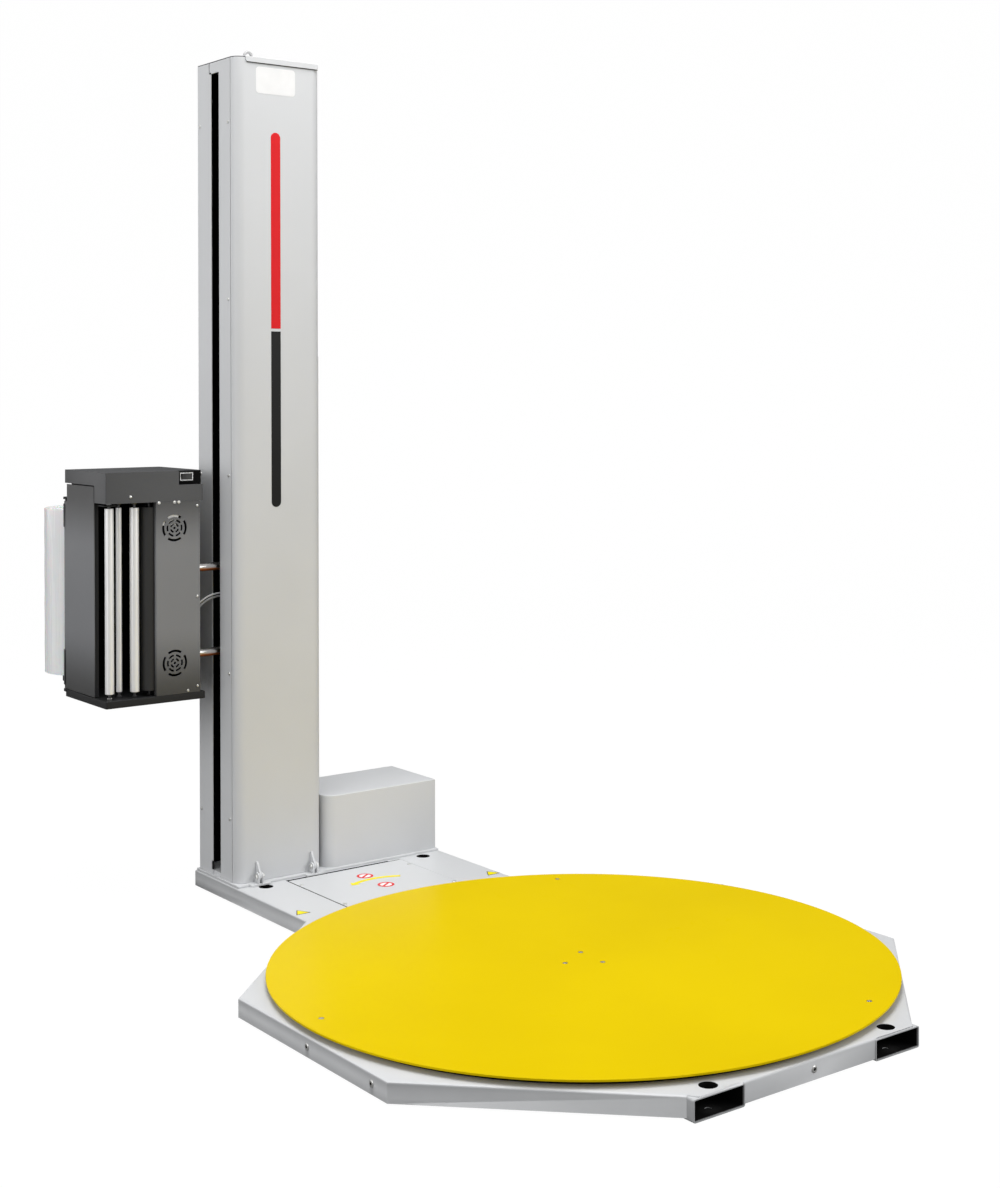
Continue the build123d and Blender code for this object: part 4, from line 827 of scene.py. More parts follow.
def add_tube(work, points, radius, side, sides=16, closed=False):
    """A round bar along flat points. side is the direction square to the plane that they lie in."""
    rings = []
    count = len(points)
    for number in range(count):
        before = points[(number - 1) % count] if closed or number else points[0]
        after = points[(number + 1) % count] if closed or number < count - 1 else points[-1]
        across = (after - before).normalized().cross(side)
        turns = [2 * math.pi * i / sides for i in range(sides)]
        rings.append([work.verts.new(points[number] + (across * math.cos(a) + side * math.sin(a)) * radius)
                      for a in turns])
    for low, high in list(zip(rings, rings[1:])) + ([(rings[-1], rings[0])] if closed else []):
        for i in range(sides):
            work.faces.new((low[i - 1], low[i], high[i], high[i - 1]))
    if not closed:
        for ring in (rings[0], rings[-1]):
            work.faces.new(ring)


def mast_plan(margin, front_r, back_r):
    """The mast's outline seen from above, drawn in by a margin."""
    return rounded(mast_left + margin, mast_right - margin, mast_front + margin, mast_back - margin,
                   (front_r, front_r, back_r, back_r), 8)


lid_gap, lid_back_r, touch = 0.0018, 0.001, 0.0001
work = bmesh.new()
add_prism(work, "Z", mast_plan(0, mast_r, lid_back_r), panel_top + lid_gap, cap_high.z)
put("mast_lid", work, grey_paint, "mast", ["mast_cap"], edge=0.0008)
work = bmesh.new()
flange_left, flange_right = mast_left + mast_r, mast_right - mast_r * 0.4
outline = [(flange_left + 0.005, cap_low.z), (flange_right - 0.002, cap_low.z),
           (flange_right, cap_low.z + 0.002),
           (flange_right, cap_high.z), (flange_left, cap_high.z), (flange_left, cap_low.z + 0.006)]
add_prism(work, "Y", outline, cap_low.y, mast_front - hair)
put("mast_lid_flange", work, grey_paint, "mast", ["mast_cap"], edge=0.0008)
# Painted shadow: a black strip under the flange and round the lid's edge.
shy, joint_shade_high, joint_shade_deep = 0.0010, 0.0016, 0.0020
work = bmesh.new()
joint = rounded(flange_left + 0.0042, flange_right - shy, cap_low.z - joint_shade_high, cap_low.z - touch, 0)
add_prism(work, "Y", joint, mast_front - hair - joint_shade_deep, mast_front - hair)
add_prism(work, "Z", mast_plan(shy, mast_r - shy, lid_back_r), panel_top + touch, panel_top + lid_gap - touch)
put("lid_joint_shade", work, shade_lining, "mast")
eye_low, eye_high = corners("lifting_eye")
eye_x = (eye_low.x + eye_high.x) / 2
bar_r, neck_high = 0.0044, 0.011
eye_r = (eye_high.x - eye_low.x) / 2 - bar_r
top_z, low_z = eye_high.z - bar_r - eye_r, eye_low.z + neck_high + eye_r
loop = arc(eye_x, top_z, eye_r, 0, 180, 14) + arc(eye_x, low_z, eye_r, 180, 360, 14)
work = bmesh.new()
add_tube(work, [Vector((x, arm_y, z)) for x, z in loop], bar_r, Vector((0, 1, 0)), closed=True)
collar = ((0, 0), (0.0105, 0), (0.011, 0.0006), (0.011, 0.0035), (0.008, 0.006), (0.0062, neck_high),
          (0.005, neck_high + 0.003), (0, neck_high + 0.003))
add_turned(work, Matrix.Translation((eye_x, arm_y, eye_low.z)), collar, 32)
# The eye's grey is darker than the mast's own: painted shade.
eye_shaded_paint = powder_coat("eye_shaded_paint", (0.36, 0.36, 0.36), floor_shade=0)
put("lifting_ring", work, eye_shaded_paint, "mast", ["lifting_eye"])

# ------------------------------------------------------------------ Mast foot and hinges
# The mast stands on a 10 mm foot plate. Two pointed lugs on its front edge turn on bolts between round
# cheeks welded to the step, so that the mast folds forward over the turntable for transport.

hinge_y = (hinge_low.y + hinge_high.y) / 2
cheek_r, cheek_thick = 0.011, 0.005
hinge_z = hinge_high.z - cheek_r
lug_half, lug_top, lug_gap = 0.003, corners("mast_foot")[1].z, 0.0005
foot_thick, bolt_r = 0.010, 0.005
work = bmesh.new()
add_prism(work, "Z", mast_plan(mast_sheet + hair, mast_r, 0), mast_foot_z, mast_foot_z + foot_thick)
for x in lug_xs:
    flank = [(mast_front - hair, mast_foot_z + 0.003), (mast_front - hair, lug_top - 0.002)]
    flank += arc(mast_front - 0.003, lug_top - 0.0025, 0.0025, 40, 170, 5)
    flank += arc(hinge_y, hinge_z, 0.0105, 150, 270, 8)
    add_prism(work, "X", flank, x - lug_half, x + lug_half, [circle(hinge_y, hinge_z, bolt_r + touch, 24)])
put("mast_foot_and_lugs", work, grey_paint, "mast", ["mast_foot"], edge=0.0009)
bolt_head = ((0, 0), (0.008, 0), (0.008, 0.0008), (0.0072, 0.0008), (0.0075, 0.0014), (0.0075, 0.0042),
             (0.0068, 0.0048), (0, 0.0048))
arch = [(hinge_y + cheek_r, step_high.z), *arc(hinge_y, hinge_z, cheek_r, 0, 180, 12),
        (hinge_y - cheek_r, step_high.z)]
cheek_work, bolt_work = bmesh.new(), bmesh.new()
for x in lug_xs:
    for side in (-1, 1):
        near = x + side * (lug_half + lug_gap)
        face = near + side * cheek_thick
        add_prism(cheek_work, "X", arch, min(near, face), max(near, face),
                  [circle(hinge_y, hinge_z, bolt_r, 24)])
        add_turned(bolt_work, aim((face, hinge_y, hinge_z), (side, 0, 0)), bolt_head, 24,
                   hexagon=(3, 4, 5, 6))
    grip = lug_half + cheek_thick
    add_turned(bolt_work, aim((x - grip, hinge_y, hinge_z), (1, 0, 0)), pin(bolt_r - touch, 0, 2 * grip), 24)
put("hinge_cheeks", cheek_work, grey_paint, "base", ["mast_hinge"], edge=0.0008)
put("hinge_bolts", bolt_work, zinc, "base", ["mast_hinge"], edge=0.0003)

# ------------------------------------------------------------------ Mast screws
# Small domed socket screws hold the strips on the mast's left side and the service cover on its right.
# They are plated bright.

side_low, side_high = corners("side_cover")
cover_face = mast_right + 0.004
mast_screw_r, mast_screw_rise = 0.0048, 0.0020
front_row, rear_row = (0.230, 0.637, 1.190, 1.682, 2.175), (0.230, 1.190, 2.180)
cover_drops = (0.007, 0.458, 0.906)
work = bmesh.new()
for y, heights in ((seam + 0.015, front_row), (mast_back - 0.014, rear_row)):
    for z in heights:
        add_button_head(work, (mast_left, y, z), (-1, 0, 0), mast_screw_r, mast_screw_rise)
for y in (seam + 0.006, mast_back - 0.018):
    for drop in cover_drops:
        add_button_head(work, (cover_face, y, side_high.z - drop), (1, 0, 0), mast_screw_r, mast_screw_rise)
put("mast_fixings", work, zinc, "mast", ["mast_screws"], edge=0.0002)

# ------------------------------------------------------------------ Service cover and buttons
# A flat screwed cover on the mast's right side carries two buttons, each in a chromed collar: a green
# flush one to start, and below it a red mushroom to stop.

work = bmesh.new()
add_prism(work, "X", rounded(side_low.y, side_high.y, side_low.z, side_high.z, 0), mast_right + hair,
          cover_face, button_holes)
put("service_cover", work, grey_paint, "mast", ["side_cover"], edge=0.0012)
collar = ((0.0114, 0), (0.0148, 0), (0.015, 0.0008), (0.0148, 0.0046), (0.0135, 0.0059), (0.0118, 0.0059),
          (0.0114, 0.0052))
work = bmesh.new()
for y, z, face in button_spots:
    add_turned(work, aim((cover_face, y, z), (1, 0, 0)), collar, 40, closed=True)
put("button_collars", work, chrome, "mast", ["side_cover"])
stem_r, cap_rise = 0.0108, 0.0140
y, z, face = button_spots[0]
rise = face - cover_face
work = bmesh.new()
add_turned(work, aim((cover_face - 0.003, y, z), (1, 0, 0)),
           ((0, 0), (stem_r, 0), (stem_r, rise + 0.0015), (stem_r - 0.001, rise + 0.003),
            (0.0060, rise + 0.0026), (0, rise + 0.0024)), 40)
green_plastic = moulded("green_plastic", (0.02, 0.32, 0.06), 0.28)
put("start", work, green_plastic, "start_button", ["start_button"])
y, z, face = button_spots[1]
stem = face - cover_face - cap_rise
work = bmesh.new()
add_turned(work, aim((cover_face, y, z), (1, 0, 0)),
           ((0, 0), (stem_r, 0), (stem_r, stem), (0.0165, stem), (0.0180, stem + 0.0015),
            (0.0180, stem + 0.006),
            (0.0168, stem + 0.0092), (0.0130, stem + 0.0122), (0.0070, stem + 0.0137), (0, stem + cap_rise)),
           48)
red_plastic = moulded("red_plastic", (0.55, 0.02, 0.02), 0.28)
put("stop", work, red_plastic, "stop_button", ["stop_button"])

# ------------------------------------------------------------------ Mast markings
# A blank white vinyl plate sits under the cap, and a plain trim line with round ends runs down the middle of
# the front, red above and black below.

vinyl_face, vinyl_back = mast_front - 0.0004, mast_front - touch
plate_left, plate_right, plate_low, plate_high = -0.2640, -0.1400, 2.256, 2.330
work = bmesh.new()
add_prism(work, "Y", rounded(plate_left, plate_right, plate_low, plate_high, 0.010), vinyl_face, vinyl_back)
put("blank_plate", work, white_vinyl, "mast")
trim_left, trim_right, square_r, round_r = -0.2180, -0.1880, 0.0005, 0.0148
split, split_half, trim_low, trim_high = 1.597, 0.004, 1.100, 2.150
round_foot, round_top = (round_r, round_r, square_r, square_r), (square_r, square_r, round_r, round_r)
for name, finish, low, high, ends in (
        ("trim_line_black", black_vinyl, trim_low, split - split_half, round_foot),
        ("trim_line_red", red_vinyl, split + split_half, trim_high, round_top)):
    work = bmesh.new()
    add_prism(work, "Y", rounded(trim_left, trim_right, low, high, ends), vinyl_face, vinyl_back)
    put(name, work, finish, "mast")

# ------------------------------------------------------------------ Lift
# Inside the mast two chromed rails guide the trolley, and a toothed belt on two pulleys carries it, driven
# by a gearmotor at the foot. Behind the slot everything is dark.

dress(chrome, "guide_rails")
dress(zinc, "trolley")
rubber = moulded("black_rubber", (0.018, 0.018, 0.018), 0.6)
dress(rubber, "lift_belt")
dress(casting, "lift_gearmotor")
aluminium = machined_metal("anodised_aluminium", (0.90, 0.90, 0.90), 0.28, streaks=(1, 1, 0.02))
dress(aluminium, "pulley_top", "pulley_bottom")

# ------------------------------------------------------------------ Carriage arms
# Two ground steel rods carry the film carriage on the trolley, through the mast's slot. Each is screwed
# into the gear housing against a hexagon collar, and runs in a plain steel sleeve. Rods and sleeves turn
# copper-coloured on their undersides: painted reflection.

rods_low, rods_high = corners("arm_rods")
rod_r = (rods_high.y - rods_low.y) / 2
rod_length = rods_high.x - rods_low.x
rod_zs = (rods_low.z + rod_r, rods_high.z - rod_r)
rod_steel = machined_metal("rod_steel", (0.80, 0.78, 0.76), 0.22, streaks=(1, 9, 9), dark=0.9)
normal = rod_steel.add("ShaderNodeTexCoord", output=1)
facing = rod_steel.add("ShaderNodeSeparateXYZ", {}, {0: normal}, output=2)
# Painted reflection: faces that look down are mixed towards copper and made rougher.
under = 1 - facing.between(-0.45, -0.05)
rod_steel.paint(Base_Color=rod_steel.mix(under, rod_steel.colour(), (0.55, 0.17, 0.06)),
                Roughness=0.22 + 0.2 * under)
flat_r, nut_end = rod_r * 1.55, 0.0078
bar = ((0, 0), (rod_r, 0), (rod_r * 1.5, 0.0005), (flat_r, 0.0012), (flat_r, 0.007), (rod_r * 1.5, nut_end),
       (rod_r, nut_end), (rod_r, rod_length - 0.0005), (0, rod_length - 0.0003))
sleeve_r, sleeve_bore, sleeve_ease = 0.0118, rod_r + 0.0004, 0.0008
sleeve_start, sleeve_end = 0.0084, rod_length - 0.003
sleeve = ((sleeve_bore, sleeve_start), (sleeve_r - sleeve_ease, sleeve_start),
          (sleeve_r, sleeve_start + sleeve_ease),
          (sleeve_r, sleeve_end - 0.001), (sleeve_r - sleeve_ease, sleeve_end), (sleeve_bore, sleeve_end))
bar_work, sleeve_work = bmesh.new(), bmesh.new()
for z in rod_zs:
    add_turned(bar_work, aim((rods_low.x + hair, arm_y, z), (1, 0, 0)), bar, 40, hexagon=(2, 3, 4, 5))
    add_turned(sleeve_work, aim((rods_low.x, arm_y, z), (1, 0, 0)), sleeve, 40, closed=True)
put("carriage_arms", bar_work, rod_steel, "carriage", ["arm_rods"])
put("arm_sleeves", sleeve_work, rod_steel, "carriage")

# ------------------------------------------------------------------ Carriage tray
# The film carriage stands on a folded tray of 3 mm steel, open below, whose rounded arm at the back holds
# the film's mandrel. All the carriage's sheet parts have an anthracite powder coat, in three tones. The door
# and the gear cover are painted darker above and below a lit middle band, as painted shade, and the
# near-black tone is painted shade on the gear channel and the plate over the rollers.


def anthracite_coat(name, tone, roughness=0.42, shine=0.45, ends=0.0):
    """The carriage's fine-textured dark powder coat. ends is how dark the painted shade is above and below
    the lit middle.
    """
    finish = powder_coat(name, (tone * 0.98, tone, tone * 1.05), roughness, peel=0.35, floor_shade=0,
                         Specular_IOR_Level=shine)
    if ends:
        # Painted shade: darker above and below a lit band at mid-height.
        height = finish.axis("Z")
        lit_band = height.between(0.58, 0.78) * (1 - height.between(0.98, 1.16))
        finish.paint(Base_Color=finish.mix(lit_band, (tone * ends,) * 3, finish.colour()))
    return finish


anthracite = anthracite_coat("anthracite_powder_coat", 0.205, ends=0.22)
dark_anthracite = anthracite_coat("dark_anthracite_powder_coat", 0.064)
# The near-black tone: painted shade on the gear channel and the plate over the rollers; the tray, its ear,
# the door's fold and the exit bracket have it too.
black_coat_and_shade = anthracite_coat("black_coat_and_painted_shade", 0.012, 0.55, 0.25)
tray_low, tray_high = corners("carriage_tray")
head_low, head_high = corners("carriage_head")
film_low, film_high = corners("film_roll")
film = (film_low + film_high) / 2
car_left, car_right, car_front, car_back = head_low.x, tray_high.x, head_low.y, head_high.y
tray_top, head_base, car_top = tray_high.z, head_low.z, head_high.z
car_sheet, fold_r, arm_half = 0.003, 0.005, 0.050
knuckle_r = 0.008
door_hinge_x, door_hinge_y = car_left + knuckle_r, car_back + 0.009
outline = arc(car_left + fold_r, car_front + fold_r, fold_r, 180, 270, 4)
outline += arc(car_right - fold_r, car_front + fold_r, fold_r, 270, 360, 4)
outline += arc(car_right - fold_r, car_back - fold_r, fold_r, 0, 90, 4)
outline += [(film.x + arm_half, car_back), *arc(film.x, film.y, arm_half, 0, 180, 20),
            (film.x - arm_half, car_back)]
outline += arc(car_left + fold_r, car_back - fold_r, fold_r, 90, 180, 4)
work = bmesh.new()
add_cover(work, outline, tray_low.z, tray_top, 0.0018)
put("tray", work, black_coat_and_shade, "carriage", ["carriage_tray"], edge=0.0005, sheet=car_sheet)


def add_ear(work, low, high):
    """A tab with a round end, behind the carriage's corner, that holds one of the door's pins."""
    left, right, root = door_hinge_x - knuckle_r, door_hinge_x + knuckle_r, car_back - 0.010
    bow = arc(door_hinge_x, door_hinge_y, knuckle_r, 0, 180, 10)
    add_prism(work, "Z", [(left, root), (right, root), (right, door_hinge_y), *bow[1:]], low, high)


work = bmesh.new()
add_ear(work, tray_top - 0.008, tray_top - touch)
put("tray_ear", work, black_coat_and_shade, "carriage", ["carriage_tray"], edge=0.0006)

# ------------------------------------------------------------------ Gear housing and cover
# A sheet channel stands on the tray and holds the film drive: a gearmotor that turns the rubber roller
# faster than the film leaves its roll. The channel and the plate over the rollers are near black: painted
# shade inside the carriage. Its flat front cover has two round slotted vents for the motor's air, with a
# white
# nylon fan guard behind the upper one. A black screen behind the rollers stands in for the shade there:
# painted shade.

housing_right, housing_width = rods_low.x, 0.104
housing_left = housing_right - housing_width
back_y = car_back - 0.002
path = [(housing_right, car_front + car_sheet), (housing_right, back_y), (housing_left, back_y),
        (housing_left, car_front + car_sheet)]
work = bmesh.new()
add_prism(work, "Z", folded(path, car_sheet), tray_top, head_base)
put("gear_channel", work, black_coat_and_shade, "carriage", ["gear_housing"], edge=0.0008)
work = bmesh.new()
add_block(work, (car_left + 0.006, car_front + car_sheet, head_base),
          (head_high.x - car_sheet, car_back - car_sheet, head_base + car_sheet))
add_ear(work, head_base + touch, head_base + 0.007)
put("roller_top_plate", work, black_coat_and_shade, "carriage", ["gear_housing"], edge=0.0006)
dress(casting, "prestretch_motor")


def slots(u, v, rings):
    """Round vents: rings of curved slots, each given by its radii, its count, its turn and its open share."""
    cuts = []
    for r_in, r_out, count, turn, share in rings:
        for i in range(count):
            middle, spread = turn + 360 * i / count, 180 * share / count
            outer = arc(u, v, r_out, middle - spread, middle + spread, 10)
            cuts.append(outer + arc(u, v, r_in, middle + spread, middle - spread, 10))
    return cuts


cover_low, cover_high = corners("gear_cover")
vent_x = housing_right - 0.0765
vent_zs = (tray_top + 0.0865, head_base - 0.0735)
vent_rings = ((0.0088, 0.0138, 4, 45, 0.66), (0.0188, 0.0240, 6, 0, 0.72), (0.0305, 0.0370, 4, 0, 0.76))
holes = []
for z in vent_zs:
    holes += [circle(vent_x, z, 0.0036, 20), *slots(vent_x, z, vent_rings)]
work = bmesh.new()
cover_back, cover_gap = car_front + 0.0028, 0.0003
outline = rounded(cover_low.x, cover_high.x, cover_low.z + cover_gap, cover_high.z - cover_gap, 0.001, 2)
add_prism(work, "Y", outline, car_front, cover_back, holes)
put("gear_front_cover", work, anthracite, "carriage", ["gear_cover"], edge=0.0005)
work = bmesh.new()
add_block(work, (cover_low.x, cover_back, cover_low.z + 0.001),
          (cover_low.x + 0.002, car_front + 0.016, cover_high.z - 0.001))
put("gear_cover_fold", work, anthracite, "carriage", ["gear_cover"], edge=0.0006)
nylon_white = moulded("white_nylon", (0.80, 0.80, 0.78), 0.35)
rivet_xs, rivet_r, rivet_rise = (-0.5167, -0.4705, -0.4575), 0.0042, 0.0024
work = bmesh.new()
for x in rivet_xs:
    add_button_head(work, (x, car_front, head_base - 0.0025), (0, -1, 0), rivet_r, rivet_rise)
put("cover_rivets", work, nylon_white, "carriage")
guard_x, guard_y, guard_z, guard_thick = vent_x - 0.004, car_front + 0.0034, vent_zs[1] + 0.006, 0.002
guard_bands = ((0.015, 0.034, 55, 175), (0.004, 0.010, -30, 150))
work = bmesh.new()
for r_in, r_out, start, end in guard_bands:
    band = arc(guard_x, guard_z, r_out, start, end, 24) + arc(guard_x, guard_z, r_in, end, start, 24)
    add_prism(work, "Y", band, guard_y, guard_y + guard_thick)
put("fan_guard", work, nylon_white, "carriage")
# Painted shade: a black screen behind the rollers.
screen_y, screen_thick = car_back - 0.045, 0.0015
work = bmesh.new()
add_block(work, (car_left + 0.017, screen_y, tray_top + hair),
          (housing_left - 0.0003, screen_y + screen_thick, head_base - hair))
put("film_screen", work, shade_lining, "carriage")

# ------------------------------------------------------------------ Carriage head
# The head is a folded box over the rollers' upper ends, stepped at its left end for the door. In a recess at
# its front right corner the rocker switch sits in a black frame with a bright line on it.

recess_left, recess_low, recess_depth = head_high.x - 0.073, car_top - 0.039, 0.014
door_front, door_top = car_front + 0.078, head_base + 0.044
past = 0.01


def box_of(low, high):
    """A block that is a mesh of its own, to cut with."""
    work = bmesh.new()
    add_block(work, low, high)
    return work


def frame_round(half_width, half_height, band, radii, steps):
    """The outline of a frame round the switch, and its opening."""
    outer, inner = (rounded(switch_x - half_width + margin, switch_x + half_width - margin,
                            switch_z - half_height + margin, switch_z + half_height - margin, r, count)
                    for margin, r, count in zip((0, band), radii, steps))
    return outer, inner


work = bmesh.new()
add_prism(work, "Z", rounded(car_left, head_high.x, car_front, car_back, 0.003, 4), head_base, car_top)
recess_back = car_front + recess_depth
for low, high in (
        ((recess_left, car_front - past, recess_low), (head_high.x + past, recess_back, car_top + past)),
        ((car_left - past, door_front - 0.004, head_base - past),
         (car_left + 0.010, car_back + past, door_top + 0.003)),
        ((car_left + 0.0099, car_back - 0.016, head_base - past),
         (car_left + 0.020, car_back + past, door_top + 0.003)),
        ((car_left + 0.023, car_front + car_sheet, head_base - past),
         (head_high.x - car_sheet, car_back - 0.019, recess_low - car_sheet)),
        ((car_left + car_sheet, recess_back + car_sheet, recess_low - car_sheet - 0.0001),
         (head_high.x - car_sheet, car_back - car_sheet, car_top - car_sheet)),
        ((car_left + car_sheet, car_front + car_sheet, recess_low - car_sheet - 0.0001),
         (recess_left - car_sheet, recess_back + car_sheet + 0.0001, car_top - car_sheet))):
    work = carved(work, box_of(low, high))
put("head", work, dark_anthracite, "carriage", ["carriage_head"], edge=0.0007)
switch_x, switch_z = recess_left + 0.0275, car_top - 0.017
frame_half, frame_rise, frame_band, frame_deep = 0.0215, 0.013, 0.004, 0.005
line_half, line_rise, line_band = frame_half - 0.0028, frame_rise - 0.0026, 0.0013
outline, opening = frame_round(frame_half, frame_rise, frame_band, (0.002, 0.001), (4, 3))
work = bmesh.new()
add_prism(work, "Y", outline, recess_back - frame_deep, recess_back, [opening])
put("switch_frame", work, black_plastic, "carriage", ["carriage_head"], edge=0.0006)
outline, opening = frame_round(line_half, line_rise, line_band, (0.0012, 0.0006), (3, 3))
work = bmesh.new()
add_prism(work, "Y", outline, recess_back - frame_deep - 0.0004, recess_back - frame_deep + touch, [opening])
put("switch_line", work, aluminium, "carriage")
# Painted shade: a black lining at the back of the switch recess.
work = bmesh.new()
add_block(work, (recess_left + hair, recess_back - 0.0008, recess_low + hair),
          (head_high.x - hair, recess_back + touch, car_top - hair))
put("recess_lining", work, shade_lining, "carriage", ["carriage_head"])
rocker_low, rocker_high = corners("rocker_switch")
rocker_turn = 10
turn = Matrix.Rotation(math.radians(rocker_turn), 2)
pivot = Vector((switch_x, recess_back - frame_deep / 2))
rocker_half = frame_half - frame_band - 0.001
shape = [(-rocker_half, -0.0044), (-rocker_half * 0.5, -0.0031), (0, -0.0017), (rocker_half * 0.5, -0.0031),
         (rocker_half, -0.0044), (rocker_half * 0.7, -0.0020), (0, 0.0018), (-rocker_half * 0.7, -0.0020)]
work = bmesh.new()
add_prism(work, "Z", [tuple(pivot + turn @ Vector(p)) for p in shape], rocker_low.z, rocker_high.z)
put("rocker", work, black_plastic, "rocker_switch", ["rocker_switch"], edge=0.0004)

# ------------------------------------------------------------------ Carriage screws
# Bright domed screws hold the head and the gear cover: one in the head's front, three down the cover's right
# edge and one at its foot.

screw_x, screw_rise, head_screw_r, cover_screw_r = housing_right - 0.008, 0.002, 0.0040, 0.0036
cover_screws = ((screw_x, head_base - 0.014), (screw_x, (tray_top + head_base) / 2),
                (screw_x, tray_top + 0.017), (housing_right - 0.037, tray_top + 0.0065))
work = bmesh.new()
add_button_head(work, (car_left + 0.072, car_front, head_base + 0.017), (0, -1, 0), head_screw_r, screw_rise)
for x, z in cover_screws:
    add_button_head(work, (x, car_front, z), (0, -1, 0), cover_screw_r, screw_rise)
put("carriage_fixings", work, zinc, "carriage", ["carriage_screws"])

# ------------------------------------------------------------------ Rollers
# The film winds past four rollers on fixed steel pins: three satin aluminium tubes and, beside the gear
# cover, the wide driven one with a black rubber sleeve. Nuts hold the pins in the tray and the top plate,
# and the exit roller's pin has a small bracket under the top plate.

dark_steel = machined_metal("blackened_steel", (0.10, 0.10, 0.10), 0.35)
dress(dark_steel, "carriage_pins")
satin = Finish("satin_aluminium", Metallic=0.45)
grain = satin.noise(220, detail=3.0, stretch=(1, 1, 0.03))
satin.paint(Base_Color=satin.mix(grain, (0.86, 0.86, 0.86), (0.96, 0.96, 0.96)),
            Roughness=0.30 + 0.15 * grain)
dark_nuts, bright_nuts = bmesh.new(), bmesh.new()
bearing_r, pin_nut_high = 0.0041, 0.0046
pin_nut = ((bearing_r, 0), (0.0068, 0), (0.0072, 0.0005), (0.0072, 0.0040), (0.0066, pin_nut_high),
           (bearing_r, pin_nut_high))
for name in ("exit_roller", "idler_roller", "feed_roller", "rubber_roller"):
    low, high = corners(name)
    x, y, r = (low.x + high.x) / 2, (low.y + high.y) / 2, (high.x - low.x) / 2
    ends = ((bearing_r, low.z + 0.0006), (bearing_r + 0.0018, low.z + 0.0006),
            (bearing_r + 0.0022, low.z + 0.002),
            (r - 0.0026, low.z + 0.002), (r - 0.0022, low.z), (r - 0.0008, low.z), (r, low.z + 0.0008))
    profile = ends + tuple((radius, low.z + high.z - z) for radius, z in reversed(ends))
    tube = bmesh.new()
    add_turned(tube, Matrix.Translation((x, y, 0)), profile, 56, closed=True)
    finish, slot = (rubber, "roller_rubber") if name == "rubber_roller" else (satin, "roller_aluminium")
    put(f"{name}_tube", tube, finish, name, [name])
    nuts = bright_nuts if name == "exit_roller" else dark_nuts
    for base_z in (tray_top + touch, head_base - pin_nut_high - touch):
        add_turned(nuts, Matrix.Translation((x, y, base_z)), pin_nut, 24, hexagon=(1, 2, 3, 4), closed=True)
put("pin_nuts", dark_nuts, dark_steel, "carriage")
put("exit_pin_nuts", bright_nuts, zinc, "carriage")
exit_low, exit_high = corners("exit_roller")
exit_x, exit_y = (exit_low.x + exit_high.x) / 2, (exit_low.y + exit_high.y) / 2
work = bmesh.new()
add_prism(work, "Z", rounded(car_left + 0.0045, exit_x + 0.021, exit_y - 0.014, exit_y + 0.036, 0.006, 5),
          head_base - 0.0052 - car_sheet, head_base - 0.0052, [circle(exit_x, exit_y, 0.0046, 24)])
put("exit_bracket", work, black_coat_and_shade, "carriage")

# ------------------------------------------------------------------ Door
# A folded sheet door closes the carriage's left end. It turns on two pins behind its rear edge, in rolled
# knuckles, so that the film can be laid round the rollers.

door_foot = corners("door")[0].z
step_y, door_back, step_z = car_back - 0.014, car_back + 0.005, head_base - 0.004
outline = [(door_front, door_foot), (door_back, door_foot), (door_back, step_z), (step_y, step_z),
           (step_y, door_top), (door_front, door_top)]
work = bmesh.new()
add_prism(work, "X", outline, car_left, car_left + car_sheet)
put("door_sheet", work, anthracite, "door", ["door"], edge=0.0009)
work = bmesh.new()
add_block(work, (car_left + car_sheet, door_front, door_foot),
          (car_left + 0.014, door_front + car_sheet, step_z))
put("door_fold", work, black_coat_and_shade, "door", ["door"], edge=0.0009)
door_pin_r, ease = 0.00305, 0.0008
knuckle_spans = ((tray_top + 0.011, tray_top + 0.111), (head_base - 0.078, head_base - 0.012))
work = bmesh.new()
for low, high in knuckle_spans:
    profile = ((door_pin_r, low), (knuckle_r - ease, low), (knuckle_r, low + ease), (knuckle_r, high - ease),
               (knuckle_r - ease, high), (door_pin_r, high))
    add_turned(work, Matrix.Translation((door_hinge_x, door_hinge_y, 0)), profile, 36, closed=True)
    add_block(work, (car_left, car_back - 0.004, low), (car_left + car_sheet, door_hinge_y - 0.006, high))
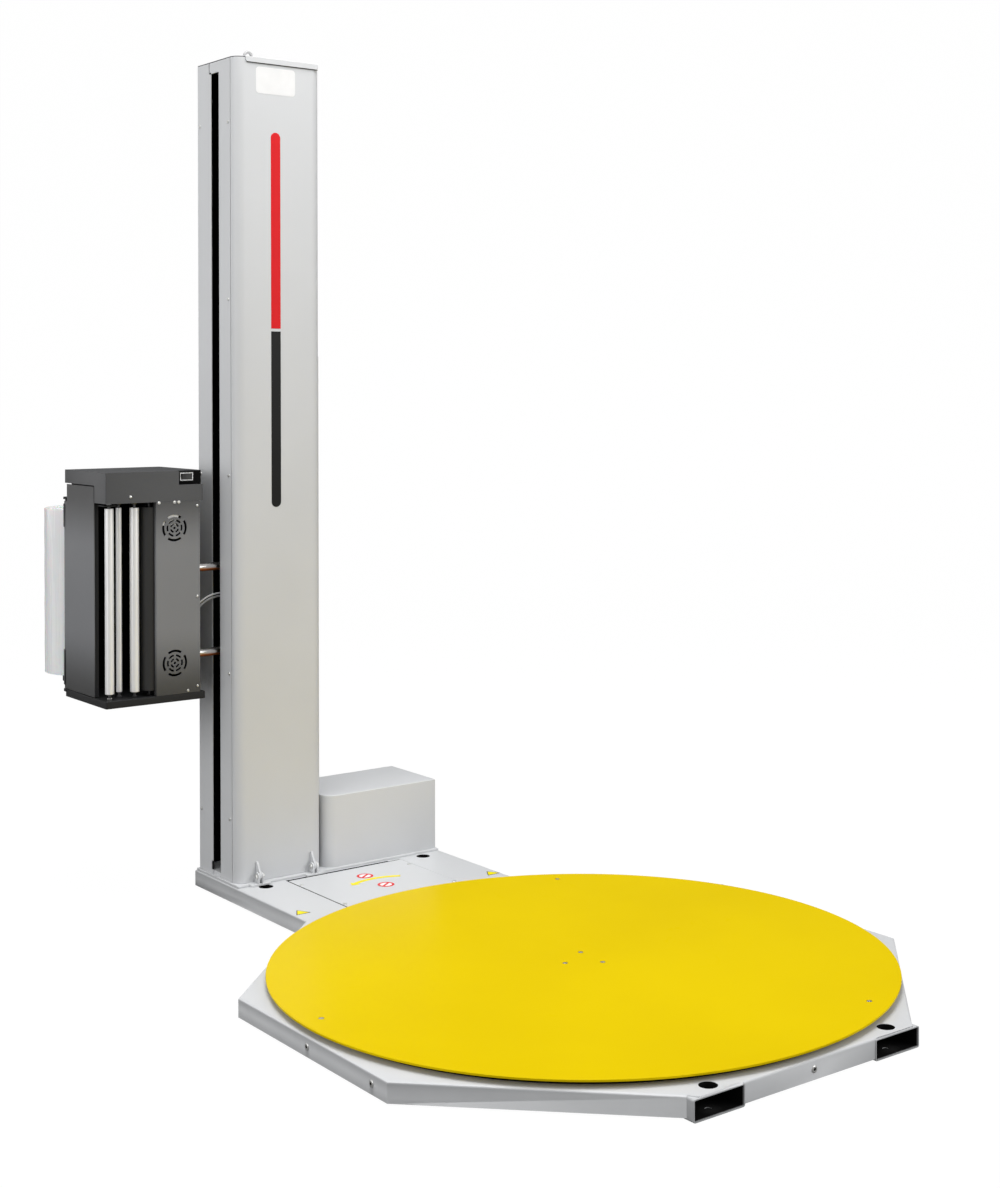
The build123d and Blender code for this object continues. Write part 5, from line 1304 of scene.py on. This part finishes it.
put("door_knuckles", work, anthracite, "door", ["door"], edge=0.0004)

# ------------------------------------------------------------------ Film roll
# Clear stretch film wound on a cardboard core, standing on the tray's mandrel. Many layers make it milky,
# with pale upright streaks where air is caught, and its ends show the winding.

film_material = Finish("stretch_film", Specular_IOR_Level=0.45, Subsurface_Weight=0.25, Subsurface_Scale=0.02)
streaks = film_material.noise(60, detail=5.0, stretch=(1, 1, 0.03)).between(0.35, 0.7)
folds = film_material.noise(14, detail=3.0, stretch=(1, 1, 0.08), distortion=0.6).between(0.3, 0.75)
base = film_material.mix(streaks, (0.86, 0.87, 0.88), (0.93, 0.93, 0.93))
base = film_material.mix(folds * 0.5, base, (0.95, 0.95, 0.95))
film_material.paint(Base_Color=base, Roughness=0.20 + 0.18 * streaks,
                    Normal=film_material.bump(streaks + folds * 0.6, 0.25, 0.001))
film_r = (film_high.x - film_low.x) / 2
core_r, core_bore = 0.041, 0.038
film_foot, film_top = film_low.z + 0.0045, film_high.z - 0.0040
layers = 26
low_end, high_end = [], []
for i in range(layers + 1):
    r = core_r + (film_r - 0.0006 - core_r) * i / layers
    creep = 0.0009 * math.sin(i * 1.7) * math.sin(i * 0.45 + 1.0)
    low_end.append((r, film_foot + 0.001 + creep))
    high_end.append((r, film_top - 0.001 + creep))
work = bmesh.new()
rows = 12
waist = [(film_r - 0.0004 * (1 + math.sin(n * 2.3)), film_foot + (film_top - film_foot) * n / rows)
         for n in range(1, rows)]
add_turned(work, Matrix.Translation((film.x, film.y, 0)), low_end + waist + high_end[::-1], 96, closed=True)
put("film_winding", work, film_material, "film_roll", ["film_roll"], sharp=60)
cardboard = moulded("cardboard_core", (0.42, 0.31, 0.19), 0.75, grain_size=260, relief=0.3)
work = bmesh.new()
core = bush(core_bore, core_r - touch, film_low.z + 0.0003, film_high.z)
add_turned(work, Matrix.Translation((film.x, film.y, 0)), core, 64, closed=True)
put("film_core", work, cardboard, "film_roll", ["film_roll"], edge=0.0003)
dress(black_plastic, "film_mandrel")
